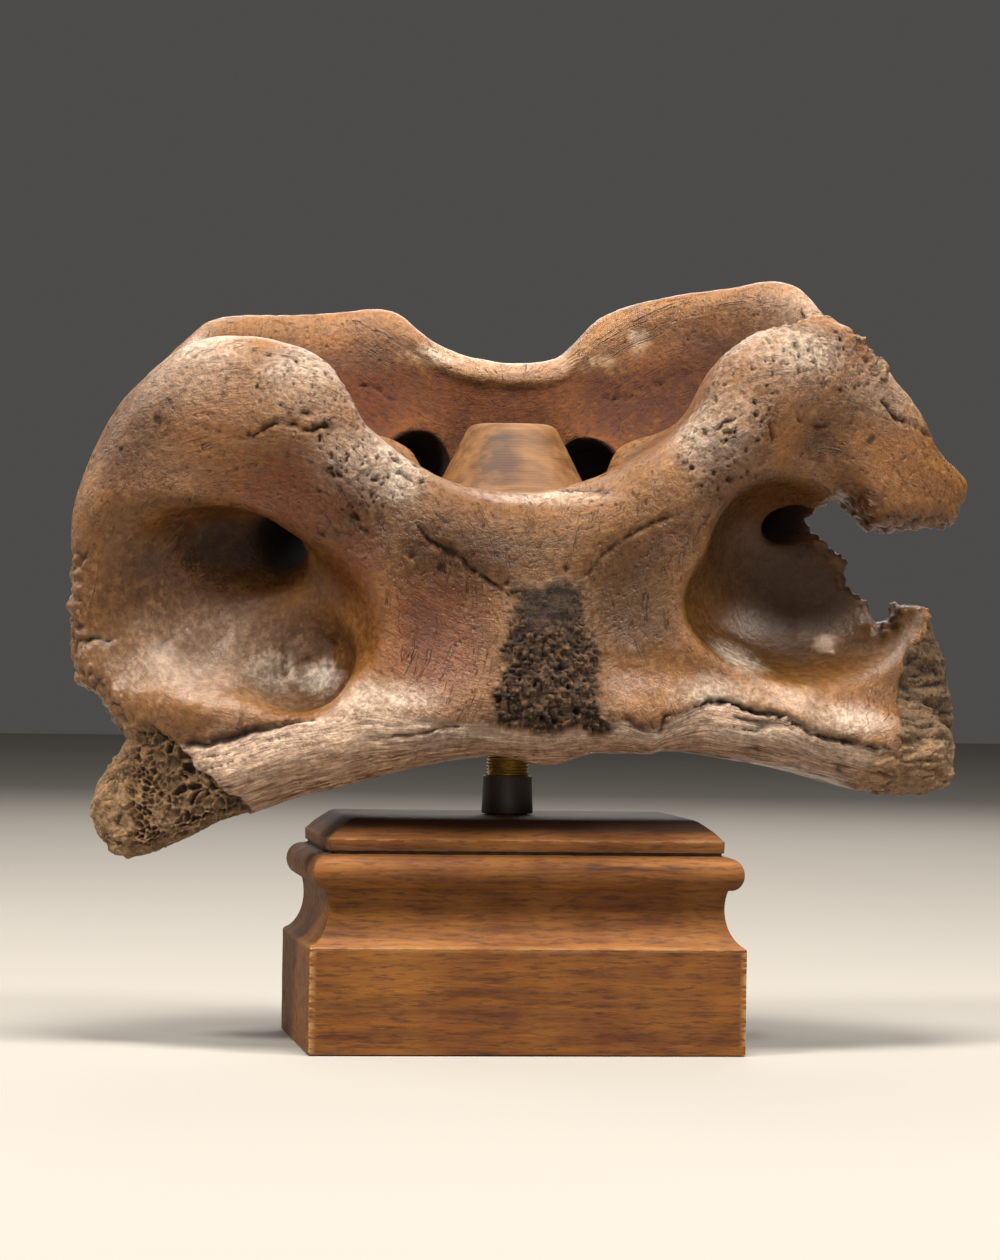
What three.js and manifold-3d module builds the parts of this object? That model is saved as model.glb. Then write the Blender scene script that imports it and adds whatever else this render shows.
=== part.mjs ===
// First neck vertebra (atlas) of a steppe bison on its display stand.
// Millimetres. +Z is up and is the bone's head end, -Y is its lower (ventral) face, which looks to the front.
// The origin is the centre of the base's underside, and the rod stands near it in the vertebral canal.
import * as THREE from 'three';
import { mergeVertices } from 'three/addons/utils/BufferGeometryUtils.js';
import Module from 'manifold-3d';

const wasm = await Module();
wasm.setup();

// Driving dimensions
const baseWidth = 98;
const baseDepth = 70;
const plinthHeight = 23.4;
const baseHeight = 52;
const touchGap = 0.3;
const rodX = -0.8;
const rodRadius = 4.95;
const rodFoot = 30;
const rodTop = 136;
const rodBore = rodRadius + touchGap;
const collarHeight = 8.6;
const collarRadii = [5.9, 5.55];
const coneFoot = 121;
const coneTop = 141.4;
const coneRadii = [20, 10.9];
const coneShoulder = 139;
const roundSteps = 32;
const gridCell = 2.5;
const boneTriangles = 8400;
const boneBox = { low: [-108, -50, 36], high: [110, 52, 182] };

// The bone's outline seen from the front (x, z), clockwise from the left cup, with its breaks.
const boneOutline = [
  [-66, 190], [-73.5, 165], [-79, 157.5], [-85, 151], [-91.5, 143.5], [-98, 131], [-102, 118], [-102.8, 105],
  [-102, 91], [-100.5, 81.5], [-95, 78.5], [-91, 73], [-88, 68.5], [-93, 66], [-97.5, 55], [-96.5, 48],
  [-91, 40.5], [-84, 40], [-65, 50], [-51, 55], [-34, 60], [-23, 63.5], [-3, 65.8], [20, 66.2], [37, 66],
  [61, 61.6], [81, 56.5], [97, 54.5], [105, 57], [107.5, 63.5], [104.5, 71], [102.5, 80], [100.5, 89],
  [97.5, 95], [95, 101.5], [87.5, 102.5], [84.2, 95.5], [82, 102], [77.5, 108], [69, 117], [67.5, 122],
  [72, 126.5], [76.6, 122.5], [84, 118.6], [93, 118], [101, 119.5], [105, 127], [104.5, 131], [97, 137],
  [92, 145], [82.5, 156.5], [77, 169], [70, 190],
];

// Heights (x, z) of the cups' front and back rims and of the lower edge.
const frontRim = [
  [-90, 152], [-78, 158], [-64, 159], [-53, 157], [-46, 153], [-41.5, 146], [-37, 139], [-21, 128.3],
  [-3, 125.2], [15, 129], [28, 136], [36.5, 144], [41.5, 154], [50.5, 161.5], [61, 165], [70, 166], [85, 155],
];
const backRim = [
  [-90, 152], [-74, 164.5], [-61, 168], [-37, 169.5], [-25, 169], [-15.6, 161.5], [-6, 158], [13, 158.4],
  [25, 169], [40, 174.7], [55, 176.8], [68, 177], [76, 169], [90, 152],
];
const lowerEdge = [
  [-90, 34], [-80, 40], [-66, 49], [-51, 54.5], [-34, 59.5], [-23, 63], [-3, 65.5], [20, 66], [37, 65.5],
  [61, 61], [81, 56],
];

// Rounded struts: the lip of the cups and the lower bar, as [x, y, z, radius].
const cupLip = [
  [-70, -17, 143, 9], [-52, -27, 140, 10], [-39, -29, 130, 10], [-22, -28, 120, 9], [-2, -28, 116, 8.5],
  [16, -28, 120, 9], [31, -29, 128, 10], [42, -29, 139, 10], [54, -26, 148, 9.5], [70, -17, 150, 9],
];
const lowerBar = [
  [-64, -20, 62, 8.5], [-46, -25, 68, 9.5], [-28, -29, 73, 9.5], [0, -32, 77, 9], [30, -29, 76, 9],
  [58, -24.5, 73, 9.5], [80, -18, 69, 9.5], [91, -14, 67.5, 9.5],
];

// Hollows as egg shapes: centre, half sizes, tilt in the front view in degrees, softness of the edge.
const hollows = [
  { name: 'left cup', at: [-38.5, 3, 172], size: [33.5, 24.5, 38], tilt: -14, soft: 8 },
  { name: 'right cup', at: [36.5, 3, 172], size: [33.5, 24.5, 38], tilt: 14, soft: 8 },
  { name: 'arch left of tubercle', at: [-22, -52, 98], size: [14, 16.5, 20], tilt: 14, soft: 8 },
  { name: 'arch right of tubercle', at: [22, -52, 98], size: [14, 16.5, 20], tilt: -14, soft: 8 },
  { name: 'left wing hollow', at: [-76, -36, 94.5], size: [41, 28.5, 24.5], tilt: 6, soft: 4.5 },
  { name: 'left wing edge', at: [-98, -29, 92], size: [22, 20.5, 21], tilt: 0, soft: 4 },
  { name: 'left inner dimple', at: [-49, -25, 90], size: [13, 18, 13], tilt: 20, soft: 4 },
  { name: 'right wing hollow', at: [70, -34, 101], size: [36, 27.5, 19], tilt: 0, soft: 3 },
  { name: 'right upper hollow', at: [60, -32, 110], size: [21, 26, 18], tilt: 25, soft: 4 },
  { name: 'left foramen mouth', at: [-67, -16, 111], size: [12, 12.5, 7.5], tilt: 8, soft: 3 },
  { name: 'left wing back', at: [-73, 30, 93], size: [25, 27, 38], tilt: 10, soft: 8 },
  { name: 'right wing back', at: [73, 30, 93], size: [25, 27, 38], tilt: -10, soft: 8 },
  { name: 'left root recess', at: [-51, 33, 129], size: [15, 19, 10], tilt: 15, soft: 5 },
  { name: 'right root recess', at: [51, 33, 129], size: [15, 19, 10], tilt: -15, soft: 5 },
  { name: 'left lower facet', at: [-36, -6, 46], size: [22, 26, 17], tilt: 0, soft: 5 },
  { name: 'right lower facet', at: [36, -6, 46], size: [22, 26, 17], tilt: 0, soft: 5 },
  { name: 'left broken face', at: [-88, -36, 50], size: [24, 18, 17], tilt: -30, soft: 2 },
];

// The rough knob in the middle of the ventral arch.
const ventralTubercle = { at: [3, -35, 85], size: [12, 7, 20], tilt: 0, soft: 7 };

// Passages for vessels and nerves: from, to and the radius at each end.
const passages = [
  { name: 'left alar foramen', from: [-57, -10, 112], to: [-46, 22, 130], radii: [5.5, 5.5] },
  { name: 'right alar foramen', from: [61, -12, 118], to: [44, 20, 131], radii: [6, 5.5] },
  { name: 'left recess of the canal', from: [-21, 6, 131], to: [-27, 12, 128], radii: [9, 7] },
  { name: 'right recess of the canal', from: [19, 6, 133], to: [25, 12, 130], radii: [9, 7] },
  { name: 'left lateral foramen', from: [-27, 12, 129], to: [-54, 26, 133], radii: [4.5, 5] },
  { name: 'right lateral foramen', from: [27, 12, 131], to: [54, 26, 135], radii: [4.5, 5] },
];
const passageEdge = 2;

// Small maths of the bone's surface: a point has a negative distance inside the bone.
const clamp01 = (t) => Math.min(1, Math.max(0, t));

function ramp(low, high, value) {
  const t = clamp01((value - low) / (high - low));
  return t * t * (3 - 2 * t);
}

function joinSoftly(a, b, soft) {
  const h = clamp01(0.5 + (0.5 * (b - a)) / soft);
  return b + (a - b) * h - soft * h * (1 - h);
}

const cutSoftly = (a, b, soft) => -joinSoftly(-a, -b, soft);

// A smooth curve through (x, z) points, with slopes taken from each point's neighbours.
function heightAt(points, x) {
  let i = 0;
  while (i < points.length - 2 && x > points[i + 1][0]) i += 1;
  const [a, b] = [points[i], points[i + 1]];
  const slope = (j) => {
    const [p, q] = [points[Math.max(j - 1, 0)], points[Math.min(j + 1, points.length - 1)]];
    return (q[1] - p[1]) / (q[0] - p[0]);
  };
  const span = b[0] - a[0];
  const t = clamp01((x - a[0]) / span);
  const [t2, t3] = [t * t, t * t * t];
  return (2 * t3 - 3 * t2 + 1) * a[1] + (t3 - 2 * t2 + t) * span * slope(i)
    + (3 * t2 - 2 * t3) * b[1] + (t3 - t2) * span * slope(i + 1);
}

function distanceToOutline(outline, x, z) {
  let nearest = Infinity;
  let inside = false;
  outline.forEach(([ax, az], i) => {
    const [bx, bz] = outline[(i + 1) % outline.length];
    const [ex, ez] = [bx - ax, bz - az];
    const t = clamp01(((x - ax) * ex + (z - az) * ez) / (ex * ex + ez * ez));
    nearest = Math.min(nearest, Math.hypot(x - ax - t * ex, z - az - t * ez));
    if (az > z !== bz > z && x < (ex * (z - az)) / ez + ax) inside = !inside;
  });
  return inside ? -nearest : nearest;
}

// Distance to an egg shape whose axes are tilted in the front view.
function distanceToEgg({ at, size, tilt }, x, y, z) {
  const angle = THREE.MathUtils.degToRad(tilt);
  const [cos, sin] = [Math.cos(angle), Math.sin(angle)];
  const [dx, dy, dz] = [x - at[0], y - at[1], z - at[2]];
  const local = [cos * dx - sin * dz, dy, sin * dx + cos * dz];
  const scaled = Math.hypot(...local.map((v, i) => v / size[i]));
  const gradient = Math.hypot(...local.map((v, i) => v / size[i] ** 2));
  return (scaled * (scaled - 1)) / (gradient + 1e-6);
}

function distanceToStrut(a, b, radiusA, radiusB, x, y, z) {
  const e = [b[0] - a[0], b[1] - a[1], b[2] - a[2]];
  const p = [x - a[0], y - a[1], z - a[2]];
  const length2 = e[0] ** 2 + e[1] ** 2 + e[2] ** 2;
  const t = clamp01((p[0] * e[0] + p[1] * e[1] + p[2] * e[2]) / length2);
  return Math.hypot(p[0] - t * e[0], p[1] - t * e[1], p[2] - t * e[2]) - radiusA - (radiusB - radiusA) * t;
}

function distanceToRoll(points, x, y, z) {
  let distance = Infinity;
  for (let i = 0; i + 1 < points.length; i += 1) {
    const strut = distanceToStrut(points[i], points[i + 1], points[i][3], points[i + 1][3], x, y, z);
    distance = i === 0 ? strut : joinSoftly(distance, strut, 3);
  }
  return distance;
}

// The bone's front and back faces: ventral arch, dorsal arch with its tubercle, cups' backs and thin wings.
function frontFace(x, z) {
  const side = Math.abs(x);
  const archNotch = 6 * ramp(108, 128, z) * (1 - ramp(18, 44, side));
  const shoulder = 5 * ramp(108, 124, z) * ramp(62, 88, side);
  return -39.5 + 31 * (side / 100) ** 2.1 + archNotch - shoulder + 4 * (1 - ramp(62, 80, z));
}

function backFace(x, z) {
  const side = Math.abs(x);
  const archAndWing = 6 + 31 * (1 - ramp(20, 66, side)) - 4 * ramp(70, 100, side);
  const cupBack = 5 + 35 * Math.sqrt(Math.max(1 - (side / 92) ** 2, 0.02));
  const tubercle = 6 * Math.exp(-((x + 1) ** 2 / 120 + (z - 132) ** 2 / 500));
  const thinLowerEdge = 9 * (1 - ramp(64, 104, z)) * (1 - ramp(30, 70, side));
  return archAndWing + (cupBack - archAndWing) * ramp(118, 150, z) * (1 - ramp(68, 94, side)) + tubercle
    - thinLowerEdge;
}

// The canal: an oval tube round the rod, narrowest where the cone wedges in it.
function distanceToCanal(x, y, z) {
  const [above, below] = [ramp(122, 158, z), 1 - ramp(60, 110, z)];
  const [halfWidth, halfDepth] = [21.5 + 7 * above + 5 * below, 22.3 + 6 * above + 4 * below];
  const scaled = Math.hypot((x - rodX) / halfWidth, (y - 1.2) / halfDepth);
  return (scaled - 1) * Math.min(halfWidth, halfDepth);
}

function addRolls(distance, x, y, z) {
  const withLip = joinSoftly(distance, distanceToRoll(cupLip, x, y, z), 12);
  return joinSoftly(withLip, distanceToRoll(lowerBar, x, y, z), 6);
}

function cutRims(distance, x, y, z) {
  const side = Math.abs(x);
  const front = heightAt(frontRim, x);
  const top = front + (heightAt(backRim, x) - front) * ramp(-14, 20, y);
  const bottom = heightAt(lowerEdge, x) + 22 * ramp(-2, 40, y) * (1 - ramp(44, 74, side));
  return cutSoftly(cutSoftly(distance, (z - top) * 0.9, 7), (bottom - z) * 0.9, 5);
}

// How much a spot belongs to a break, where edges stay sharp.
function brokenness(x, z) {
  const leftBreak = Math.exp(-((x + 90) ** 2 / 400 + (z - 62) ** 2 / 500));
  const rightBreak = Math.exp(-((x - 88) ** 2 / 500 + (z - 92) ** 2 / 900));
  return Math.max(leftBreak, rightBreak);
}

// Crumbly relief on the two broken ends and on the ventral tubercle.
function roughness(x, y, z) {
  const waves = Math.sin(0.62 * x + 0.3 * z) * Math.sin(0.66 * z - 0.3 * x + 1) * Math.sin(0.5 * y + 2);
  const leftStub = 1 - ramp(8, 20, Math.hypot(x + 86, (z - 53) * 0.9));
  const rightEnd = ramp(84, 90, x) * (1 - ramp(96, 104, z));
  const tubercle = (1 - ramp(7, 15, Math.hypot(x - 3, (z - 86) * 0.45))) * (1 - ramp(-30, -24, y));
  return 1.4 * waves * Math.max(leftStub, rightEnd, 0.6 * tubercle);
}

function distanceToBone(x, y, z) {
  const soft = 9 - 5.5 * brokenness(x, z);
  let distance = cutSoftly(frontFace(x, z) - y, y - backFace(x, z), 5);
  distance = cutSoftly(distanceToOutline(boneOutline, x, z), distance, soft);
  distance = cutRims(addRolls(distance, x, y, z), x, y, z);
  distance = cutSoftly(distance, -distanceToCanal(x, y, z), 5);
  distance = joinSoftly(distance, distanceToEgg(ventralTubercle, x, y, z), ventralTubercle.soft);
  hollows.forEach((hollow) => {
    distance = cutSoftly(distance, -distanceToEgg(hollow, x, y, z), hollow.soft);
  });
  passages.forEach(({ from, to, radii }) => {
    distance = cutSoftly(distance, -distanceToStrut(from, to, radii[0], radii[1], x, y, z), passageEdge);
  });
  return distance + roughness(x, y, z);
}

// Meshes the surface where the distance is zero: each grid cube is split into six tetrahedra.
function meshOfSurface(distanceAt, box, cell) {
  const counts = box.low.map((low, i) => Math.ceil((box.high[i] - low) / cell) + 1);
  const idOf = (i, j, k) => i + counts[0] * (j + counts[1] * k);
  const pointOf = (id) => [
    box.low[0] + cell * (id % counts[0]),
    box.low[1] + cell * (Math.floor(id / counts[0]) % counts[1]),
    box.low[2] + cell * Math.floor(id / (counts[0] * counts[1])),
  ];
  const total = counts[0] * counts[1] * counts[2];
  const values = Float64Array.from({ length: total }, (_, id) => distanceAt(...pointOf(id)) || 1e-9);
  const points = [];
  const triangles = [];
  const known = new Map();
  const crossing = (a, b) => {
    const key = a < b ? a * total + b : b * total + a;
    if (!known.has(key)) {
      const t = THREE.MathUtils.clamp(values[a] / (values[a] - values[b]), 0.02, 0.98);
      const [p, q] = [pointOf(a), pointOf(b)];
      known.set(key, points.length);
      points.push(p.map((v, i) => v + (q[i] - v) * t));
    }
    return known.get(key);
  };
  // Each tetrahedron walks from the cube's first corner to its last along the axes in one order.
  const walks = [[1, 3, 1], [1, 5, -1], [2, 3, -1], [2, 6, 1], [4, 5, 1], [4, 6, -1]];
  const corners = [0, 1, 2, 3, 4, 5, 6, 7].map((c) => [c & 1, (c >> 1) & 1, c >> 2]);
  const cubeAt = (i, j, k) => corners.map(([di, dj, dk]) => idOf(i + di, j + dj, k + dk));
  const addTriangle = (a, b, c, flip) => triangles.push(flip ? [a, c, b] : [a, b, c]);
  const addTetrahedron = (ids, sign) => {
    const within = [0, 1, 2, 3].filter((i) => values[ids[i]] < 0);
    const without = [0, 1, 2, 3].filter((i) => values[ids[i]] >= 0);
    if (within.length === 0 || without.length === 0) return;
    const lone = within.length === 3;
    const order = lone ? [...without, ...within] : [...within, ...without];
    const swaps = order.flatMap((a, m) => order.slice(m + 1).filter((b) => a > b)).length;
    const flip = (swaps % 2 === 1) !== (sign < 0) !== lone;
    const [a, b, c, d] = order.map((i) => ids[i]);
    if (within.length === 2) {
      const [ac, ad, bd, bc] = [crossing(a, c), crossing(a, d), crossing(b, d), crossing(b, c)];
      addTriangle(ac, ad, bd, flip);
      addTriangle(ac, bd, bc, flip);
    } else {
      addTriangle(crossing(a, b), crossing(a, c), crossing(a, d), flip);
    }
  };
  for (let k = 0; k + 1 < counts[2]; k += 1) {
    for (let j = 0; j + 1 < counts[1]; j += 1) {
      for (let i = 0; i + 1 < counts[0]; i += 1) {
        const cube = cubeAt(i, j, k);
        const inside = cube.filter((id) => values[id] < 0).length;
        if (inside === 0 || inside === 8) continue;
        walks.forEach(([m, n, sign]) => addTetrahedron([cube[0], cube[m], cube[n], cube[7]], sign));
      }
    }
  }
  return { points, triangles };
}

// Error of a point against the planes that a corner's triangles once lay in, kept as ten sums.
function planeSums([p, q, r]) {
  const [a, b, c] = [p, q, r].map((v) => new THREE.Vector3(...v));
  const normal = b.sub(a).cross(c.sub(a));
  const area = normal.length() / 2;
  normal.normalize();
  const plane = [normal.x, normal.y, normal.z, -normal.dot(a)];
  return plane.flatMap((u, i) => plane.slice(i).map((v) => area * u * v));
}

function planeError([xx, xy, xz, xw, yy, yz, yw, zz, zw, ww], [x, y, z]) {
  const squares = xx * x * x + yy * y * y + zz * z * z;
  const mixed = xy * x * y + xz * x * z + yz * y * z + xw * x + yw * y + zw * z;
  return squares + 2 * mixed + ww;
}

// Where the two ends of an edge best meet: the point of least error, or the middle where that is unsure.
function meetingPoint([xx, xy, xz, xw, yy, yz, yw, zz, zw], p, q) {
  const middle = p.map((v, i) => (v + q[i]) / 2);
  const matrix = new THREE.Matrix3(xx, xy, xz, xy, yy, yz, xz, yz, zz);
  const scale = (xx + yy + zz) ** 3;
  if (Math.abs(matrix.determinant()) < 1e-4 * scale) return middle;
  const best = new THREE.Vector3(-xw, -yw, -zw).applyMatrix3(matrix.invert()).toArray();
  const reach = Math.hypot(...p.map((v, i) => v - q[i]));
  const shift = Math.hypot(...best.map((v, i) => v - middle[i]));
  return shift < reach ? best : middle;
}

function normalOf(p, q, r) {
  const [ux, uy, uz] = [q[0] - p[0], q[1] - p[1], q[2] - p[2]];
  const [vx, vy, vz] = [r[0] - p[0], r[1] - p[1], r[2] - p[2]];
  const normal = [uy * vz - uz * vy, uz * vx - ux * vz, ux * vy - uy * vx];
  const length = Math.hypot(...normal) || 1e-12;
  return normal.map((v) => v / length);
}

// Thins a closed mesh out to a number of triangles by closing the edges that change its shape least.
function thinOut({ points, triangles }, wanted) {
  const sums = points.map(() => new Array(10).fill(0));
  triangles.forEach((triangle) => {
    const own = planeSums(triangle.map((v) => points[v]));
    triangle.forEach((v) => own.forEach((value, i) => { sums[v][i] += value; }));
  });
  let kept = triangles.map((triangle) => [...triangle]);
  const share = 0.2;
  const turnLimit = 0.3;
  const joinOf = ([a, b]) => {
    const joined = sums[a].map((value, i) => value + sums[b][i]);
    const at = meetingPoint(joined, points[a], points[b]);
    return { a, b, joined, at, cost: planeError(joined, at) };
  };
  for (let round = 0; kept.length > wanted && round < 60; round += 1) {
    const around = points.map(() => []);
    kept.forEach((triangle) => triangle.forEach((v) => around[v].push(triangle)));
    const neighbours = (v) => new Set(around[v].flat().filter((w) => w !== v));
    const edges = kept.flatMap(([a, b, c]) => [[a, b], [b, c], [c, a]]).filter(([a, b]) => a < b);
    const joins = edges.map(joinOf).sort((first, second) => first.cost - second.cost);
    const touched = new Set();
    let count = kept.length;
    for (const { a, b, joined, at } of joins.slice(0, Math.ceil(joins.length * share))) {
      if (count <= wanted) break;
      const [nearA, nearB] = [neighbours(a), neighbours(b)];
      const both = [...nearA].filter((v) => nearB.has(v));
      const free = [...nearA, ...nearB].every((v) => !touched.has(v));
      if (!free || both.length !== 2) continue;
      const vanishes = (triangle) => triangle.includes(a) && triangle.includes(b);
      const stays = [...around[a], ...around[b]].filter((triangle) => !vanishes(triangle));
      const steady = stays.every((triangle) => {
        const before = normalOf(...triangle.map((v) => points[v]));
        const after = normalOf(...triangle.map((v) => (v === a || v === b ? at : points[v])));
        return before[0] * after[0] + before[1] * after[1] + before[2] * after[2] > turnLimit;
      });
      if (!steady) continue;
      around[b].forEach((triangle) => {
        if (!triangle.includes(a)) triangle[triangle.indexOf(b)] = a;
        else triangle.fill(-1);
      });
      points[a] = at;
      sums[a] = joined;
      [a, b, ...nearA, ...nearB].forEach((v) => touched.add(v));
      count -= 2;
    }
    kept = kept.filter((triangle) => triangle[0] >= 0);
  }
  return { points, triangles: kept };
}

function geometryOf({ points, triangles }) {
  const used = [...new Set(triangles.flat())];
  const place = new Map(used.map((v, i) => [v, i]));
  const geometry = new THREE.BufferGeometry();
  geometry.setAttribute('position', new THREE.Float32BufferAttribute(used.flatMap((v) => points[v]), 3));
  geometry.setIndex(triangles.flat().map((v) => place.get(v)));
  geometry.computeVertexNormals();
  return geometry;
}

// Cuts one closed shape out of another.
function solidOf(geometry) {
  const bare = geometry.clone();
  bare.deleteAttribute('normal');
  bare.deleteAttribute('uv');
  const merged = mergeVertices(bare, 1e-4);
  return new wasm.Manifold(new wasm.Mesh({
    numProp: 3,
    vertProperties: Float32Array.from(merged.attributes.position.array),
    triVerts: Uint32Array.from(merged.index.array),
  }));
}

function cutOut(geometry, tool) {
  const { vertProperties, triVerts } = solidOf(geometry).subtract(solidOf(tool)).getMesh();
  const result = new THREE.BufferGeometry();
  result.setAttribute('position', new THREE.Float32BufferAttribute(vertProperties, 3));
  result.setIndex([...triVerts]);
  result.computeVertexNormals();
  return result;
}

// A round shape about the rod's axis from (radius, height) points.
function turned(profile) {
  const geometry = new THREE.LatheGeometry(profile.map(([r, z]) => new THREE.Vector2(r, z)), roundSteps);
  return geometry.rotateX(Math.PI / 2).translate(rodX, 0, 0);
}

// The base's moulding as (inset from the plinth, height): plinth, cove, round, quirk, fillet and bevel.
function mouldingProfile() {
  const along = (steps, ...ends) => {
    const curve = new THREE.CubicBezierCurve(...ends.map(([inset, z]) => new THREE.Vector2(inset, z)));
    return curve.getPoints(steps).map(({ x, y }) => [x, y]);
  };
  return [
    [0, 0], [0, plinthHeight], [0.5, plinthHeight + 0.6],
    ...along(7, [1, 24.2], [4, 26.3], [5.3, 32], [3.7, 36.5]),
    ...along(8, [2.8, 36.6], [-0.2, 37.2], [-0.6, 43.8], [4.3, 44]),
    [5.1, 44.2], [5.1, 44.8], [4.6, 44.9], [4.5, 47.3],
    [6.6, 49.4], [9.6, baseHeight - 0.4], [10.6, baseHeight],
  ];
}

// A moulding run round a rectangle with mitred corners, closed below and on top.
function mitredBlock(profile, width, depth) {
  const points = profile.flatMap(([inset, z]) => {
    const [x, y] = [width / 2 - inset, depth / 2 - inset];
    return [[-x, -y, z], [x, -y, z], [x, y, z], [-x, y, z]];
  });
  const triangles = [[0, 2, 1], [0, 3, 2]];
  for (let ring = 0; ring + 1 < profile.length; ring += 1) {
    for (let side = 0; side < 4; side += 1) {
      const [a, b] = [ring * 4 + side, ring * 4 + ((side + 1) % 4)];
      triangles.push([a, b, b + 4], [a, b + 4, a + 4]);
    }
  }
  const top = (profile.length - 1) * 4;
  triangles.push([top, top + 1, top + 2], [top, top + 2, top + 3]);
  return geometryOf({ points, triangles });
}

function makeBase() {
  const [floor, mouth] = [rodFoot - touchGap, baseHeight + 2];
  const socket = turned([[0, floor], [rodBore, floor], [rodBore, mouth], [0, mouth]]);
  return cutOut(mitredBlock(mouldingProfile(), baseWidth, baseDepth), socket);
}

function makeRod() {
  const bevel = 0.6;
  return turned([
    [0, rodFoot], [rodRadius - bevel, rodFoot], [rodRadius, rodFoot + bevel],
    [rodRadius, rodTop - bevel], [rodRadius - bevel, rodTop], [0, rodTop],
  ]);
}

// A loose ring's profile closes on itself.
function makeCollar() {
  const foot = baseHeight + touchGap;
  const top = foot + collarHeight;
  return turned([
    [rodBore, foot], [collarRadii[0], foot], [collarRadii[1], top], [rodBore, top], [rodBore, foot],
  ]);
}

// The cone is wedged in the canal with its wide end down. A blind bore takes the rod's top.
function makeCone() {
  const [footRadius, shoulderRadius] = coneRadii;
  const edge = 0.8;
  return turned([
    [0, rodTop + touchGap], [rodBore, rodTop + touchGap], [rodBore, coneFoot], [footRadius - edge, coneFoot],
    [footRadius, coneFoot + edge], [shoulderRadius, coneShoulder], [shoulderRadius - 0.6, coneShoulder + 1.2],
    [shoulderRadius - 1.6, coneTop - 0.4], [shoulderRadius - 2.8, coneTop], [0, coneTop],
  ]);
}

function makeVertebra() {
  return geometryOf(thinOut(meshOfSurface(distanceToBone, boneBox, gridCell), boneTriangles));
}

const looks = {
  bone: new THREE.MeshStandardMaterial({ color: '#7a5538', roughness: 0.5, metalness: 0 }),
  stainedWood: new THREE.MeshStandardMaterial({ color: '#7d4a1e', roughness: 0.45, metalness: 0 }),
  brass: new THREE.MeshStandardMaterial({ color: '#8a6b35', roughness: 0.35, metalness: 1 }),
  darkSleeve: new THREE.MeshStandardMaterial({ color: '#1d1510', roughness: 0.5, metalness: 0 }),
  paleWood: new THREE.MeshStandardMaterial({ color: '#a8683c', roughness: 0.4, metalness: 0 }),
};

function named(name, geometry, material) {
  const mesh = new THREE.Mesh(geometry, material);
  mesh.name = name;
  return mesh;
}

const specimen = new THREE.Group();
specimen.add(
  named('vertebra', makeVertebra(), looks.bone),
  named('base', makeBase(), looks.stainedWood),
  named('threaded_rod', makeRod(), looks.brass),
  named('rod_collar', makeCollar(), looks.darkSleeve),
  named('cone_nut', makeCone(), looks.paleWood),
);

export default specimen;
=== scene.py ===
# Atlas bone of a steppe bison on its turned and moulded wooden stand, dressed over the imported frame.
# The shape tables are in millimetres, Blender's own values in metres.
import math
import bmesh
import bpy
import numpy as np
from mathutils import Matrix, Vector


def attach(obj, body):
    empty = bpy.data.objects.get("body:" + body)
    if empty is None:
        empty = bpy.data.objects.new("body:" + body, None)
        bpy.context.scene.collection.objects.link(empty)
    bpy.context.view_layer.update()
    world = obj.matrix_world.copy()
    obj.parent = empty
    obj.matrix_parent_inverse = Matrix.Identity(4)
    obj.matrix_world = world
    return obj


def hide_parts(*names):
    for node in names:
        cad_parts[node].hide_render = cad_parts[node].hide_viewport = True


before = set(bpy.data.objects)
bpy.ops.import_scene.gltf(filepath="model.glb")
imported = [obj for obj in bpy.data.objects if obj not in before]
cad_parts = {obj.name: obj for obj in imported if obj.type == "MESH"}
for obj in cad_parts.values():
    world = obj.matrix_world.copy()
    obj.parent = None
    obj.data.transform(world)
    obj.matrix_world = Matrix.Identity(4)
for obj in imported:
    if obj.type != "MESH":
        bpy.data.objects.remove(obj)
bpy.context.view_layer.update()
mm = 0.001
faint = 0.02  # smallest share of a surface that is worth dressing


def linearColour(hexCode):
    channels = [int(hexCode[i:i + 2], 16) / 255 for i in (1, 3, 5)]
    return [c / 12.92 if c <= 0.04045 else ((c + 0.055) / 1.055) ** 2.4 for c in channels] + [1.0]


def addNode(tree, kind, inputs=None, **settings):
    node = tree.nodes.new(kind)
    for name, value in settings.items():
        setattr(node, name, value)
    for name, value in (inputs or {}).items():
        if isinstance(value, bpy.types.NodeSocket):
            tree.links.new(value, node.inputs[name])
        else:
            node.inputs[name].default_value = value
    return node


def noiseNode(tree, place, scale, detail, roughness, distortion=0.0):
    return addNode(tree, "ShaderNodeTexNoise", {
        "Vector": place, "Scale": scale, "Detail": detail, "Roughness": roughness,
        "Distortion": distortion}).outputs["Fac"]


def rangeNode(tree, value, low=0.0, high=1.0, least=0.0, most=1.0):
    return addNode(tree, "ShaderNodeMapRange", {
        "Value": value, "From Min": low, "From Max": high, "To Min": least, "To Max": most}).outputs[0]


def mathNode(tree, operation, *values):
    return addNode(tree, "ShaderNodeMath", dict(enumerate(values)), operation=operation).outputs[0]


def product(tree, result, *factors):
    for factor in factors:
        result = mathNode(tree, "MULTIPLY", result, factor)
    return result


def mixColour(tree, factor, a, b, **settings):  # a and b are hex codes or sockets
    a, b = (linearColour(c) if isinstance(c, str) else c for c in (a, b))
    return addNode(tree, "ShaderNodeMix", {"Factor": factor, 6: a, 7: b}, data_type="RGBA", **settings).outputs[2]


def mixValue(tree, factor, a, b):
    return addNode(tree, "ShaderNodeMix", {"Factor": factor, 2: a, 3: b}, data_type="FLOAT").outputs[0]


def newMaterial(name):
    material = bpy.data.materials.new(name)
    material.use_nodes = True
    tree = material.node_tree
    return material, tree, tree.nodes["Principled BSDF"]


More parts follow.
